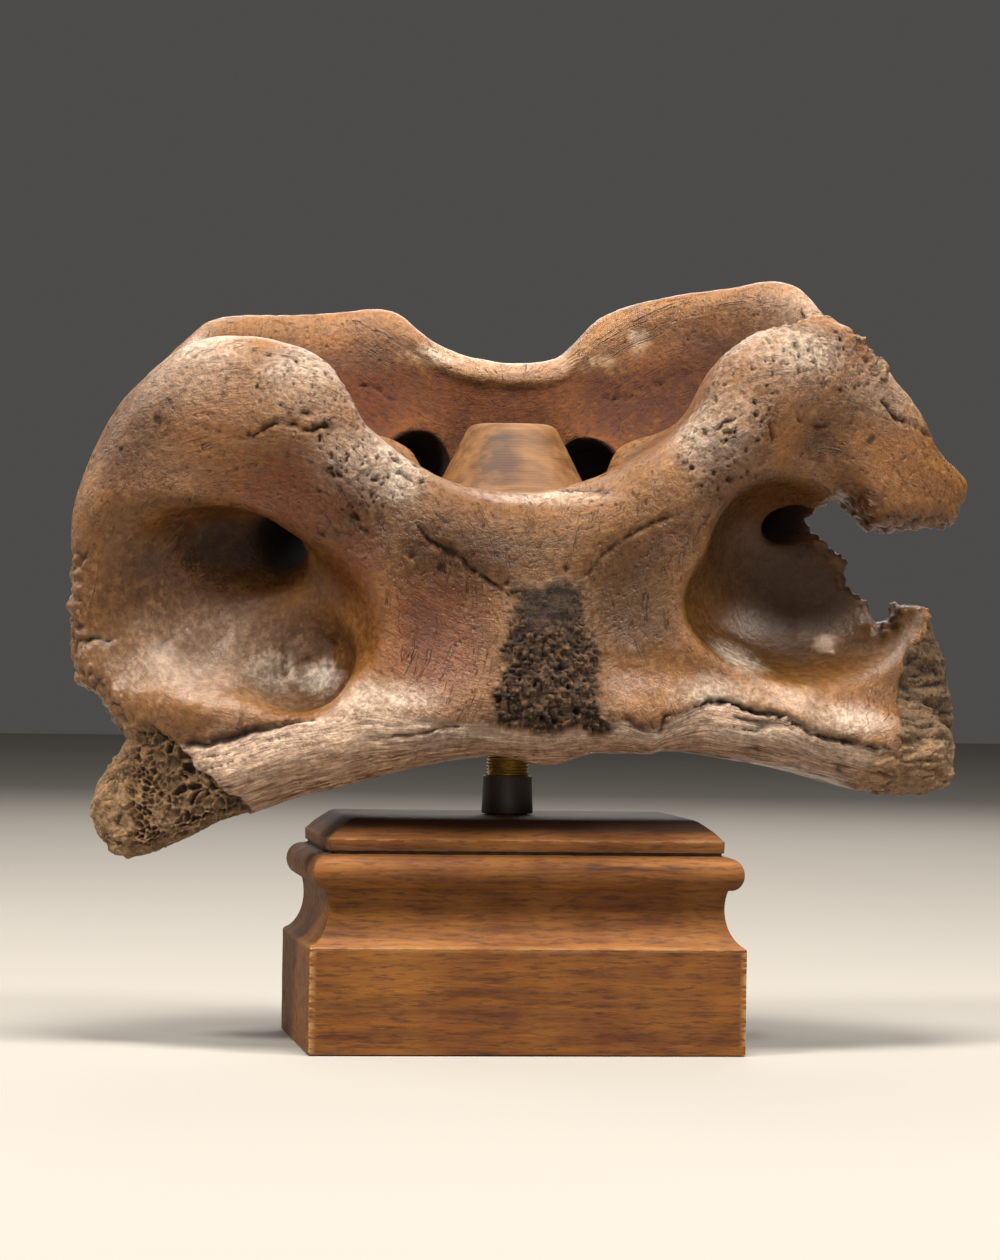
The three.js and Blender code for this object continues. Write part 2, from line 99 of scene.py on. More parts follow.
def surface(tree, shader, colour, roughness, normal=None, ior=None):
    tree.links.new(colour, shader.inputs["Base Color"])
    tree.links.new(roughness, shader.inputs["Roughness"])
    if normal:
        tree.links.new(normal.outputs[0], shader.inputs["Normal"])
    if ior:
        shader.inputs["IOR"].default_value = ior


def makePiece(name, points, faces, node, material, values=None):
    mesh = bpy.data.meshes.new(name)
    mesh.from_pydata((np.asarray(points, float) * mm).tolist(), [], [list(face) for face in faces])
    for key, value in (values or {}).items():
        value = np.asarray(value, np.float32)
        kind, field = ("FLOAT_VECTOR", "vector") if value.ndim == 2 else ("FLOAT", "value")
        mesh.attributes.new(key, kind, "POINT").data.foreach_set(field, value.ravel())
    mesh.materials.append(material)
    mesh.shade_smooth()
    mesh.update()
    piece = bpy.data.objects.new(name, mesh)
    bpy.context.scene.collection.objects.link(piece)
    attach(piece, "root")
    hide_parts(node)
    return piece


def ramp(low, high, value):  # rises smoothly from 0 to 1
    t = np.clip((value - low) / (high - low), 0, 1)
    return t * t * (3 - 2 * t)


def fade(low, high, value):  # falls smoothly from 1 to 0
    return 1 - ramp(low, high, value)


def joinSoft(a, b, soft):
    h = np.clip(0.5 + 0.5 * (b - a) / soft, 0, 1)
    return b + (a - b) * h - soft * h * (1 - h)


def cutSoft(a, b, soft):
    return -joinSoft(-a, -b, soft)


def latticeValue(i, j, k, seed):  # a value from 0 to 1 that is always the same for a cell and seed
    n = i * 374761393 + j * 668265263 + k * 1440662683 + seed * 974634777
    n = (n ^ (n >> 13)) * 1274126177
    return ((n ^ (n >> 16)) & 0xFFFF) / 65535.0


def noise(points, size, seed):  # smooth noise from -1 to 1, one lump every size millimetres
    p = points / size
    cell = np.floor(p).astype(np.int64)
    t = p - cell
    t = t * t * (3 - 2 * t)
    total = 0
    for corner in range(8):
        bits = [corner & 1, corner >> 1 & 1, corner >> 2]
        weight = np.prod([t[:, a] if bits[a] else 1 - t[:, a] for a in range(3)], axis=0)
        total = total + weight * latticeValue(*(cell + bits).T, seed)
    return total * 2 - 1


def cellNoise(points, size, seed):  # distances to the nearest and second nearest of scattered seeds, in cells
    p = points / size
    cell = np.floor(p).astype(np.int64)
    first = np.full(len(p), 9.0)
    second = np.full(len(p), 9.0)
    owner = np.zeros(len(p))
    for offset in np.ndindex(3, 3, 3):
        at = cell + np.array(offset) - 1
        centre = at + np.stack([latticeValue(*at.T, seed + a) for a in range(3)], 1)
        gap = np.linalg.norm(p - centre, axis=1)
        nearer = gap < first
        second = np.where(nearer, first, np.minimum(second, gap))
        owner = np.where(nearer, latticeValue(*at.T, seed + 7), owner)
        first = np.where(nearer, gap, first)
    return first, second, owner


def wobble(points, size, seeds):  # one noise for each direction, to bend a pattern with
    return np.stack([noise(points, size, seed) for seed in seeds], 1)


def grit(points, *layers):  # sharp-edged lumps: size, seed and height of each layer
    return sum(height * np.abs(noise(points, size, seed)) for size, seed, height in layers)


bone = {
    "outline": [  # front view (x, z), with the breaks
        (-66, 190), (-73.5, 165), (-79, 157.5), (-85, 151), (-91.5, 143.5), (-98, 131), (-102, 118), (-102.8, 105),
        (-102, 91), (-100.5, 81.5), (-95, 78.5), (-91, 73), (-88, 68.5), (-90.2, 64.8), (-93.7, 60.2), (-96.6, 54.2),
        (-96.2, 49.5), (-95, 46), (-91.5, 42.2), (-87, 41.6), (-81, 43), (-65, 50), (-51, 55), (-34, 60), (-23, 63.5),
        (-3, 65.8), (20, 66.2), (37, 66), (61, 61.6), (81, 56.5), (97, 54.5), (105, 57), (107.5, 63.5), (104.5, 71),
        (102.5, 80), (100.5, 89), (97.5, 95), (95.5, 101), (88, 101.6), (86.3, 98), (83.6, 96.4), (81.5, 102.3),
        (78, 105), (76.6, 107.3), (77.6, 111), (73, 114), (69, 117.3), (67.2, 120.3), (71.3, 126.3), (74.6, 125),
        (78, 122.3), (80.3, 119.2), (86.5, 118.6), (93, 118.8), (101, 119.5), (105, 127), (104.5, 131), (97, 137),
        (92, 145), (82.5, 156.5), (77, 169), (70, 190)],
    "smoothRuns": ((1, 8), (19, 30), (54, 60)),  # corners of the outline between the breaks
    "frontRim": [
        (-90, 152), (-78, 158), (-64, 159), (-53, 157), (-46, 153), (-41.5, 146), (-37, 139), (-21, 128.3),
        (-3, 125.2), (15, 129), (28, 136), (36.5, 144), (41.5, 154), (50.5, 161.5), (61, 165), (70, 166), (85, 155)],
    "backRim": [
        (-90, 152), (-74, 164.5), (-61, 168), (-37, 169.5), (-25, 169), (-15.6, 161.5), (-6, 158), (13, 158.4),
        (25, 169), (40, 174.7), (55, 176.8), (68, 177), (76, 169), (90, 152)],
    "lowerEdge": [
        (-90, 34), (-80, 40), (-66, 49), (-51, 54.5), (-34, 59.5), (-23, 63), (-3, 65.5), (20, 66), (37, 65.5),
        (61, 61), (81, 56)],
    "cupLip": [  # rounded struts: x, y, z, radius
        (-70, -17, 143, 9), (-52, -27, 140, 10), (-39, -29, 130, 10), (-22, -28, 120, 9), (-2, -28, 116, 8.5),
        (16, -28, 120, 9), (31, -29, 128, 10), (42, -29, 139, 10), (54, -26, 148, 9.5), (70, -17, 150, 9)],
    "lowerBar": [
        (-64, -20, 62, 8.5), (-46, -25, 68, 9.5), (-28, -29, 73, 9.5), (0, -32, 77, 9), (30, -29, 76, 9),
        (58, -24.5, 73, 9.5), (80, -18, 69, 9.5), (91, -14, 67.5, 9.5)],
    "hollows": {  # centre, half sizes, tilt in degrees, softness of the edge, lean backwards
        "left cup": ((-38.5, 3, 172), (33.5, 24.5, 39), -14, 8, -0.16),
        "right cup": ((36.5, 3, 172), (33.5, 24.5, 39), 14, 8, -0.16),
        "arch left of tubercle": ((-22, -52, 98), (14, 16.5, 20), 14, 8),
        "arch right of tubercle": ((22, -52, 98), (14, 16.5, 20), -14, 8),
        "left wing hollow": ((-76, -36, 95), (41, 26, 25), 6, 5, 0.35),
        "left wing edge": ((-98, -29, 92), (22, 20.5, 21), 0, 4),
        "left inner dimple": ((-51.5, -22, 87), (13.5, 10, 11.5), 10, 5, 0.25),
        "right wing hollow": ((70, -34, 101), (36, 29, 19), 0, 3, 0.15),
        "right upper hollow": ((60, -32, 110), (21, 26, 18), 25, 4),
        "left foramen mouth": ((-65, -16, 111.5), (13.5, 11, 8.5), 8, 8),
        "left wing back": ((-73, 30, 93), (25, 27, 38), 10, 8),
        "right wing back": ((73, 30, 93), (25, 27, 38), -10, 8),
        "left root recess": ((-51, 33, 131), (15, 19, 8.5), 15, 5),
        "right root recess": ((51, 33, 129), (15, 19, 10), -15, 5),
        "left lower facet": ((-36, -6, 46), (22, 26, 17), 0, 5),
        "right lower facet": ((36, -6, 46), (22, 26, 17), 0, 5),
        "left broken face": ((-88, -36, 50), (24, 18, 17), -30, 2)},
    "tubercle": ((3, -35, 85), (12, 7, 20), 0, 7),
    "passages": [  # from, to, radius at each end, softness of the edge
        ((-57, -12, 112), (-38, 20, 124), 6.5, 5, 5), ((64, -11, 118.5), (45, 20, 131), 5.4, 5.5, 2),
        ((-17, 8, 133.5), (-23, 25, 130), 9.5, 7.5, 2), ((16.5, 7, 133.5), (21, 23, 130), 8.5, 7, 2),
        ((-27, 12, 123), (-54, 28, 126), 4, 4.5, 2), ((27, 12, 124), (54, 28, 127), 4, 4.5, 2)],
    "soft": {  # widths over which forms run into one another
        "plate": 5, "outline": 9, "sharper": 5.5, "strut": 3, "lip": 12, "bar": 6, "rims": 7, "foot": 5, "canal": 5},
    "box": ((-108, -50, 36), (110, 52, 182)),
    "canalCentre": (-0.8, 1.2),
    "step": 1.05,
    "coarser": 4, "margin": 1.3,  # the first, rough net: its step in fine steps, and how far off the surface counts
    "triangles": 190000,
}

cracks = {  # lines on the surface: width, depth, darkness, points
    "left lobe": (0.75, 1.3, 0.9, [
        (-63.7, -32.2, 135.9), (-61.9, -33.8, 136.9), (-59, -36, 138.7), (-54.1, -38.1, 138.7), (-52.8, -38.3, 137.8),
        (-51.5, -38.5, 137.6), (-49.1, -38.8, 137.9), (-46.9, -38.9, 138.1), (-44.9, -39.1, 137.5)]),
    "left lobe outer": (0.5, 0.5, 0.6, [
        (-75.4, -27.5, 138.7), (-72.3, -28.5, 137.4), (-69.3, -29.6, 136.5), (-63.7, -32.2, 135.9)]),
    "left rib": (0.6, 0.9, 0.9, [
        (-47.6, -38.5, 130.2), (-45, -38.8, 125.9), (-41.9, -38, 120.6), (-39.8, -37.2, 117.8), (-38, -36.7, 115.2)]),
    "arch left": (0.8, 1.1, 1.0, [
        (-27.2, -39, 117.1), (-25.6, -38.8, 115.4), (-24, -38.4, 114.1), (-21.6, -37.9, 112.6), (-19.1, -37.5, 111.3),
        (-16.2, -37.4, 109.6), (-14.6, -37.3, 107.9), (-12.8, -37.6, 106.3), (-8.7, -38.8, 103.5),
        (-7, -39.6, 101.8)]),
    "arch left pit": (2.0, 1.0, 0.8, [(-20.6, -37.8, 112.2), (-18, -37.4, 110.4)]),
    "arch right": (0.8, 0.9, 0.8, [
        (32.4, -39.3, 121), (29.5, -39.1, 120.1), (26, -38.8, 118.5), (22.2, -38.7, 116.8), (18, -38.4, 113.7),
        (14.7, -38.2, 111), (12.5, -38.2, 108.5), (9.5, -39.3, 104.7)]),
    "bar left": (1.7, 1.5, 0.85, [
        (-76.7, -18.6, 67.4), (-74.1, -20.4, 67.7), (-71, -23.1, 68.2), (-68, -25.2, 68.8), (-64.9, -26.5, 70.1),
        (-61.2, -28.1, 71.5), (-56.7, -29.7, 73), (-52.6, -31.3, 73.8), (-48.4, -33.6, 74)]),
    "bar right": (1.0, 1.5, 1.0, [
        (32.8, -39, 76.6), (36.1, -38.1, 77.5), (39, -37.1, 79.5), (44.1, -36.1, 78.7), (49.3, -35.3, 77.4),
        (53.5, -34.6, 76.8), (57.4, -34.5, 75.9), (59.9, -34.4, 74.6), (62.6, -33.7, 72.8), (68.1, -31.4, 70.8),
        (73.7, -29.7, 69.9), (79.5, -28.5, 68.6), (82.4, -27.9, 68.4)]),
    "bar right foot": (0.8, 0.9, 0.8, [
        (18.3, -40.2, 75.1), (23.4, -39.1, 73.2), (27.6, -38.5, 71.9), (29.6, -39.3, 75.3), (32.8, -39, 76.6)]),
    "bar middle": (0.7, 0.8, 0.8, [
        (-34.4, -37.8, 70.3), (-30.1, -39, 70.8), (-23.9, -39.5, 71.8), (-19.1, -39.7, 72.3), (-14.1, -40.3, 73)]),
    "cup left": (0.6, 0.7, 0.8, [
        (-33.8, 26.6, 150.2), (-31.9, 26.5, 150.7), (-30.1, 26.2, 150.5), (-27.4, 25, 148.6), (-24.4, 23.6, 147.4)]),
    "cup right": (0.5, 0.6, 0.7, [
        (23.2, 24.4, 149.1), (26.1, 25.3, 149), (29.1, 25.9, 149), (32.1, 26.7, 150.6), (35.1, 27.2, 152.3),
        (37.5, 27.2, 152.6), (41, 27.4, 155.1), (46.1, 26.4, 155.5)]),
    "right lobe": (0.8, 0.9, 0.9, [
        (38.9, -40.5, 139.5), (40.2, -40.6, 140), (41.5, -40.6, 140.9), (43.9, -40.2, 142)]),
    "right lobe upright": (0.8, 1.1, 1.0, [
        (51.3, -37.8, 141.4), (52.6, -37, 140.1), (53, -36.4, 138.1), (52.9, -35.8, 135.9)]),
    "right lobe branch": (0.6, 0.7, 0.7, [
        (57.8, -35.7, 143.6), (59.7, -34.1, 141.7), (61.9, -32.5, 141.2), (64.3, -31, 141), (67.8, -29.2, 141.2)]),
    "right wing": (0.8, 1.0, 0.9, [
        (79.2, -26.2, 147.6), (82.4, -24.2, 144.8), (86.5, -21.5, 142.5), (91.4, -17.3, 140.5),
        (94.7, -11.9, 139.4)]),
    "right neck": (0.7, 0.9, 0.8, [(42.6, -36, 123.5), (41.1, -35.7, 121), (40.2, -34.5, 118.3)]),
    "right neck upper": (0.7, 0.9, 0.8, [(47.2, -37.4, 130.9), (47.1, -36, 128.2)]),
    "canal mouth": (0.8, 0.5, 0.8, [(5.4, -33.2, 125.4), (11, -36, 125.4), (16.6, -38, 125)]),
    "lip left": (0.7, 0.6, 0.7, [
        (-33.8, -38.6, 133.1), (-31.9, -38.3, 131.6), (-29.6, -37.1, 130.6), (-26.8, -36, 129.3)]),
    "lip left lower": (1.0, 0.7, 0.8, [(-32.5, -39.6, 129.1), (-29.7, -38.8, 127.9), (-26.8, -38.3, 126.4)]),
    "wing edge left": (0.9, 0.9, 0.9, [(-100.7, -5.3, 108.7), (-99.3, -7.6, 108.7), (-97.8, -9.3, 108.9)]),
    "wing edge lower": (0.6, 0.8, 0.9, [
        (-99.2, -6.8, 90.5), (-95.9, -8.3, 91), (-93.9, -8.8, 90.8), (-92.6, -9.1, 90.6), (-91.2, -9.4, 91.5)]),
    "back left wing": (0.9, 1.0, 0.8, [
        (-88, 3.4, 118), (-86.7, 3.6, 119.1), (-84, 4.3, 121), (-82, 5.2, 124.1), (-81, 6.4, 127), (-79.1, 8, 128.9),
        (-76, 10.9, 131), (-75, 13.3, 133.5), (-74, 16.8, 137), (-71.1, 20.2, 138.4), (-69, 23.8, 141)]),
    "back left low": (0.9, 1.0, 0.8, [
        (-70, 2.3, 92), (-67.7, 2.5, 93.5), (-65, 3, 95), (-62.6, 3.7, 94.9), (-60, 4.8, 94.5), (-56.6, 6.9, 97),
        (-54, 9, 98), (-50.8, 12.1, 98.7), (-47, 16.3, 99)]),
    "back arch": (0.9, 1.0, 0.8, [
        (-14, 37.9, 118), (-12.7, 38.5, 120.7), (-12, 39.1, 124), (-13.3, 39.2, 127.8), (-13, 39.6, 130),
        (-11.3, 40.7, 133.2), (-9, 42.1, 137), (-8.9, 42.3, 140.1), (-10, 41.8, 143)]),
    "back right wing": (0.9, 1.0, 0.8, [
        (58, 32.1, 150), (60.5, 31.1, 148.4), (63, 29.4, 146), (63.7, 27.5, 143.3), (66, 23.9, 140),
        (68.8, 20.9, 137.8), (72, 18.4, 137), (73.8, 15.1, 134.7), (75, 11.2, 131), (77.5, 9.3, 130.2),
        (81, 7, 129)]),
    "back right low": (0.9, 1.0, 0.8, [
        (34, 28.2, 92), (37.2, 25.9, 93.9), (41, 22.5, 95), (43.9, 19.3, 94), (46, 17, 94), (50, 12.8, 96.3),
        (53, 9.9, 98), (55.3, 7.9, 98.5), (57, 6.7, 98)]),
}


def heightAt(points, x):  # smooth curve through the points
    p = np.array(points, float)
    slope = np.gradient(p[:, 1], p[:, 0])
    slope[1:-1] = (p[2:, 1] - p[:-2, 1]) / (p[2:, 0] - p[:-2, 0])
    i = np.clip(np.searchsorted(p[:, 0], x) - 1, 0, len(p) - 2)
    span = p[i + 1, 0] - p[i, 0]
    t = np.clip((x - p[i, 0]) / span, 0, 1)
    t2, t3 = t * t, t * t * t
    return ((2 * t3 - 3 * t2 + 1) * p[i, 1] + (t3 - 2 * t2 + t) * span * slope[i]
            + (3 * t2 - 2 * t3) * p[i + 1, 1] + (t3 - t2) * span * slope[i + 1])


def smoothOutline():  # curves through the unbroken runs, straight through the breaks
    corners = np.array(bone["outline"], float)
    count = len(corners)
    points = []
    for i in range(count):
        a, b, c, d = (corners[(i + k) % count] for k in (-1, 0, 1, 2))
        curved = any(first <= i < last for first, last in bone["smoothRuns"])
        for t in (0, 0.25, 0.5, 0.75) if curved else (0,):
            points.append(0.5 * (2 * b + (c - a) * t + (2 * a - 5 * b + 4 * c - d) * t * t
                                 + (3 * b - a - 3 * c + d) * t ** 3))
    return np.array(points)


def outlineTable():  # distance to the outline on a 0.5 mm grid
    corners = smoothOutline()
    low, high = np.array((-116, 26)), np.array((118, 194))
    x, z = np.meshgrid(np.arange(low[0], high[0], 0.5), np.arange(low[1], high[1], 0.5), indexing="ij")
    nearest = np.full(x.shape, 1e9)
    inside = np.zeros(x.shape, bool)
    for (ax, az), (bx, bz) in zip(corners, np.roll(corners, -1, axis=0)):
        ex, ez = bx - ax, bz - az
        t = np.clip(((x - ax) * ex + (z - az) * ez) / (ex * ex + ez * ez), 0, 1)
        nearest = np.minimum(nearest, (x - ax - t * ex) ** 2 + (z - az - t * ez) ** 2)
        if ez:
            inside ^= ((az > z) != (bz > z)) & (x < ex * (z - az) / ez + ax)
    return low, np.where(inside, -1, 1) * np.sqrt(nearest)


tableLow, outlineValues = outlineTable()


def outlineDistance(x, z):
    u, v = (x - tableLow[0]) * 2, (z - tableLow[1]) * 2
    i = np.clip(np.floor(u).astype(int), 0, outlineValues.shape[0] - 2)
    j = np.clip(np.floor(v).astype(int), 0, outlineValues.shape[1] - 2)
    u, v = u - i, v - j
    return ((1 - u) * ((1 - v) * outlineValues[i, j] + v * outlineValues[i, j + 1])
            + u * ((1 - v) * outlineValues[i + 1, j] + v * outlineValues[i + 1, j + 1]))


def eggDistance(egg, x, y, z):  # distance to an ellipsoid, near enough close to its surface
    centre, size, tilt, _, *lean = egg
    cos, sin = math.cos(math.radians(tilt)), math.sin(math.radians(tilt))
    dx, dz = x - centre[0], z - centre[2]
    local = (cos * dx - sin * dz, y - centre[1] - (lean[0] * dz if lean else 0), sin * dx + cos * dz)
    scaled = np.sqrt(sum((v / s) ** 2 for v, s in zip(local, size)))
    gradient = np.sqrt(sum((v / s ** 2) ** 2 for v, s in zip(local, size)))
    return scaled * (scaled - 1) / (gradient + 1e-6)


def strutDistance(a, b, radiusA, radiusB, x, y, z):  # distance to a tapered rod with round ends
    ex, ey, ez = b[0] - a[0], b[1] - a[1], b[2] - a[2]
    px, py, pz = x - a[0], y - a[1], z - a[2]
    t = np.clip((px * ex + py * ey + pz * ez) / (ex * ex + ey * ey + ez * ez), 0, 1)
    return np.sqrt((px - t * ex) ** 2 + (py - t * ey) ** 2 + (pz - t * ez) ** 2) - radiusA - (radiusB - radiusA) * t


def rollDistance(points, x, y, z):
    distance = None
    for a, b in zip(points, points[1:]):
        strut = strutDistance(a, b, a[3], b[3], x, y, z)
        distance = strut if distance is None else joinSoft(distance, strut, bone["soft"]["strut"])
    return distance


def boneDistance(x, y, z):  # negative inside the bone
    soft = bone["soft"]
    side = np.abs(x)
    # front: bows back to the sides, lies back below the canal's mouth and at the foot, comes out at the lobes
    front = (-39.5 + 31 * (side / 100) ** 2.1 + 6 * ramp(108, 128, z) * fade(18, 44, side)
             - 5 * ramp(108, 124, z) * ramp(62, 88, side) + 4 * fade(62, 80, z))
    # back: an arch that thins into the wings, round cups above, the median tubercle, thinner at the foot
    archAndWing = 6 + 31 * fade(20, 66, side) - 4 * ramp(70, 100, side)
    cupBack = 5 + 35 * np.sqrt(np.maximum(1 - (side / 92) ** 2, 0.02))
    back = (archAndWing + (cupBack - archAndWing) * ramp(118, 150, z) * fade(68, 94, side)
            + 6 * np.exp(-((x + 1) ** 2 / 120 + (z - 132) ** 2 / 500)) - 9 * fade(64, 104, z) * fade(30, 70, side))
    # the edges are round, but sharp at the two breaks
    broken = np.maximum(np.exp(-((x + 90) ** 2 / 400 + (z - 62) ** 2 / 500)),
                        np.exp(-((x - 88) ** 2 / 500 + (z - 92) ** 2 / 900)))
    plate = cutSoft(front - y, y - back, soft["plate"])
    distance = cutSoft(outlineDistance(x, z), plate, soft["outline"] - soft["sharper"] * broken)
    distance = joinSoft(distance, rollDistance(bone["cupLip"], x, y, z), soft["lip"])
    distance = joinSoft(distance, rollDistance(bone["lowerBar"], x, y, z), soft["bar"])
    # upper and lower edges, which differ from front to back
    top = heightAt(bone["frontRim"], x)
    top = top + (heightAt(bone["backRim"], x) - top) * ramp(-14, 20, y)
    bottom = heightAt(bone["lowerEdge"], x) + 22 * ramp(-2, 40, y) * fade(44, 74, side)
    distance = cutSoft(cutSoft(distance, (z - top) * 0.9, soft["rims"]), (bottom - z) * 0.9, soft["foot"])
    # the canal widens to both ends
    above, below = ramp(122, 158, z), fade(60, 110, z)
    halfX, halfY = 21.5 + 7 * above + 5 * below, 22.3 + 6 * above * (1 - 0.7 * ramp(0, 14, y)) + 4 * below
    cx, cy = bone["canalCentre"]
    canal = (np.sqrt(((x - cx) / halfX) ** 2 + ((y - cy) / halfY) ** 2) - 1) * np.minimum(halfX, halfY)
    distance = cutSoft(distance, -canal, soft["canal"])
    distance = joinSoft(distance, eggDistance(bone["tubercle"], x, y, z), bone["tubercle"][3])
    for hollow in bone["hollows"].values():
        distance = cutSoft(distance, -eggDistance(hollow, x, y, z), hollow[3])
    for start, end, radiusA, radiusB, edge in bone["passages"]:
        distance = cutSoft(distance, -strutDistance(start, end, radiusA, radiusB, x, y, z), edge)
    return distance


def boneNet(step):  # surface points and quads where the distance is zero; fine values only near the surface
    low, high = np.array(bone["box"], float)
    coarser = bone["coarser"]
    rough = step * coarser
    cells = np.ceil((high - low) / rough).astype(int)
    axes = [low[a] + rough * np.arange(cells[a] + 1) for a in range(3)]
    coarse = boneDistance(*np.meshgrid(*axes, indexing="ij"))
    near = np.zeros(cells, bool)
    for corner in np.ndindex(2, 2, 2):
        near |= np.abs(coarse[tuple(slice(c, c + n) for c, n in zip(corner, cells))]) < rough * bone["margin"]
    for a in range(3):
        near = np.repeat(near, coarser, axis=a)
    size = cells * coarser + 1
    wanted = np.zeros(size, bool)
    for corner in np.ndindex(2, 2, 2):
        wanted[tuple(slice(c, c + n) for c, n in zip(corner, size - 1))] |= near
    values = coarse
    for a in range(3):
        values = np.repeat(values, coarser, axis=a)
    values = values[:size[0], :size[1], :size[2]].astype(np.float32)
    ids = np.argwhere(wanted)
    x, y, z = (low + ids * step).T.astype(np.float32)
    values[wanted] = boneDistance(x, y, z)
    inside = values < 0
    corners = [np.array(c) for c in np.ndindex(2, 2, 2)]
    count = sum(inside[tuple(slice(c, c + n - 1) for c, n in zip(corner, size))].astype(np.int8)
                for corner in corners)
    cubes = np.argwhere((count > 0) & (count < 8))
    index = np.full(size - 1, -1, np.int64)
    index[tuple(cubes.T)] = np.arange(len(cubes))
    sums, hits = np.zeros((len(cubes), 3)), np.zeros(len(cubes))
    for corner in corners:
        for a in range(3):
            if corner[a]:
                continue
            other = corner + np.eye(3, dtype=int)[a]
            first, second = values[tuple((cubes + corner).T)], values[tuple((cubes + other).T)]
            crossing = (first < 0) != (second < 0)
            place = np.repeat(corner[None].astype(float), len(cubes), 0)
            place[:, a] = first / (first - second + 1e-9)
            sums[crossing] += place[crossing]
            hits[crossing] += 1
    points = (cubes + sums / hits[:, None]) * step + low
    quads = []
    for a in range(3):
        b, c = (a + 1) % 3, (a + 2) % 3
        head, tail = [slice(None)] * 3, [slice(None)] * 3
        head[a], tail[a] = slice(0, size[a] - 1), slice(1, size[a])
        edges = np.argwhere(inside[tuple(head)] != inside[tuple(tail)])
        ring = []
        for db, dc in ((1, 1), (0, 1), (0, 0), (1, 0)):
            at = edges.copy()
            at[:, b] -= db
            at[:, c] -= dc
            ring.append(index[tuple(at.T)])
        quad = np.stack(ring, 1)
        outward = inside[tuple(head)][tuple(edges.T)]
        quads.append(np.where(outward[:, None], quad, quad[:, ::-1]))
    return points, np.concatenate(quads)


def slopeAt(p, reach):  # the distance's gradient
    shifts = np.eye(3) * reach
    return np.stack([boneDistance(*(p + s).T) - boneDistance(*(p - s).T) for s in shifts], 1) / (2 * reach)


def settle(p):  # moves points onto the surface
    reach, furthest, flattest = 0.3, 0.6, 0.05  # mm, mm a round, and the least slope squared
    for _ in range(2):
        gradient = slopeAt(p, reach)
        steepness = np.maximum((gradient ** 2).sum(1), flattest)
        move = gradient * (boneDistance(*p.T) / steepness)[:, None]
        p = p - np.clip(move, -furthest, furthest)
    return p


def nearLine(p, line):  # distance from points to a line of points, and how far along it
    line = np.array(line, float)
    best, along = np.full(len(p), 1e9), np.zeros(len(p))
    travelled = 0
    for a, b in zip(line, line[1:]):
        e = b - a
        t = np.clip((p - a) @ e / (e @ e), 0, 1)
        gap = np.linalg.norm(p - a - t[:, None] * e, axis=1)
        along = np.where(gap < best, travelled + t * np.linalg.norm(e), along)
        best = np.minimum(best, gap)
        travelled += np.linalg.norm(e)
    return best, along / travelled


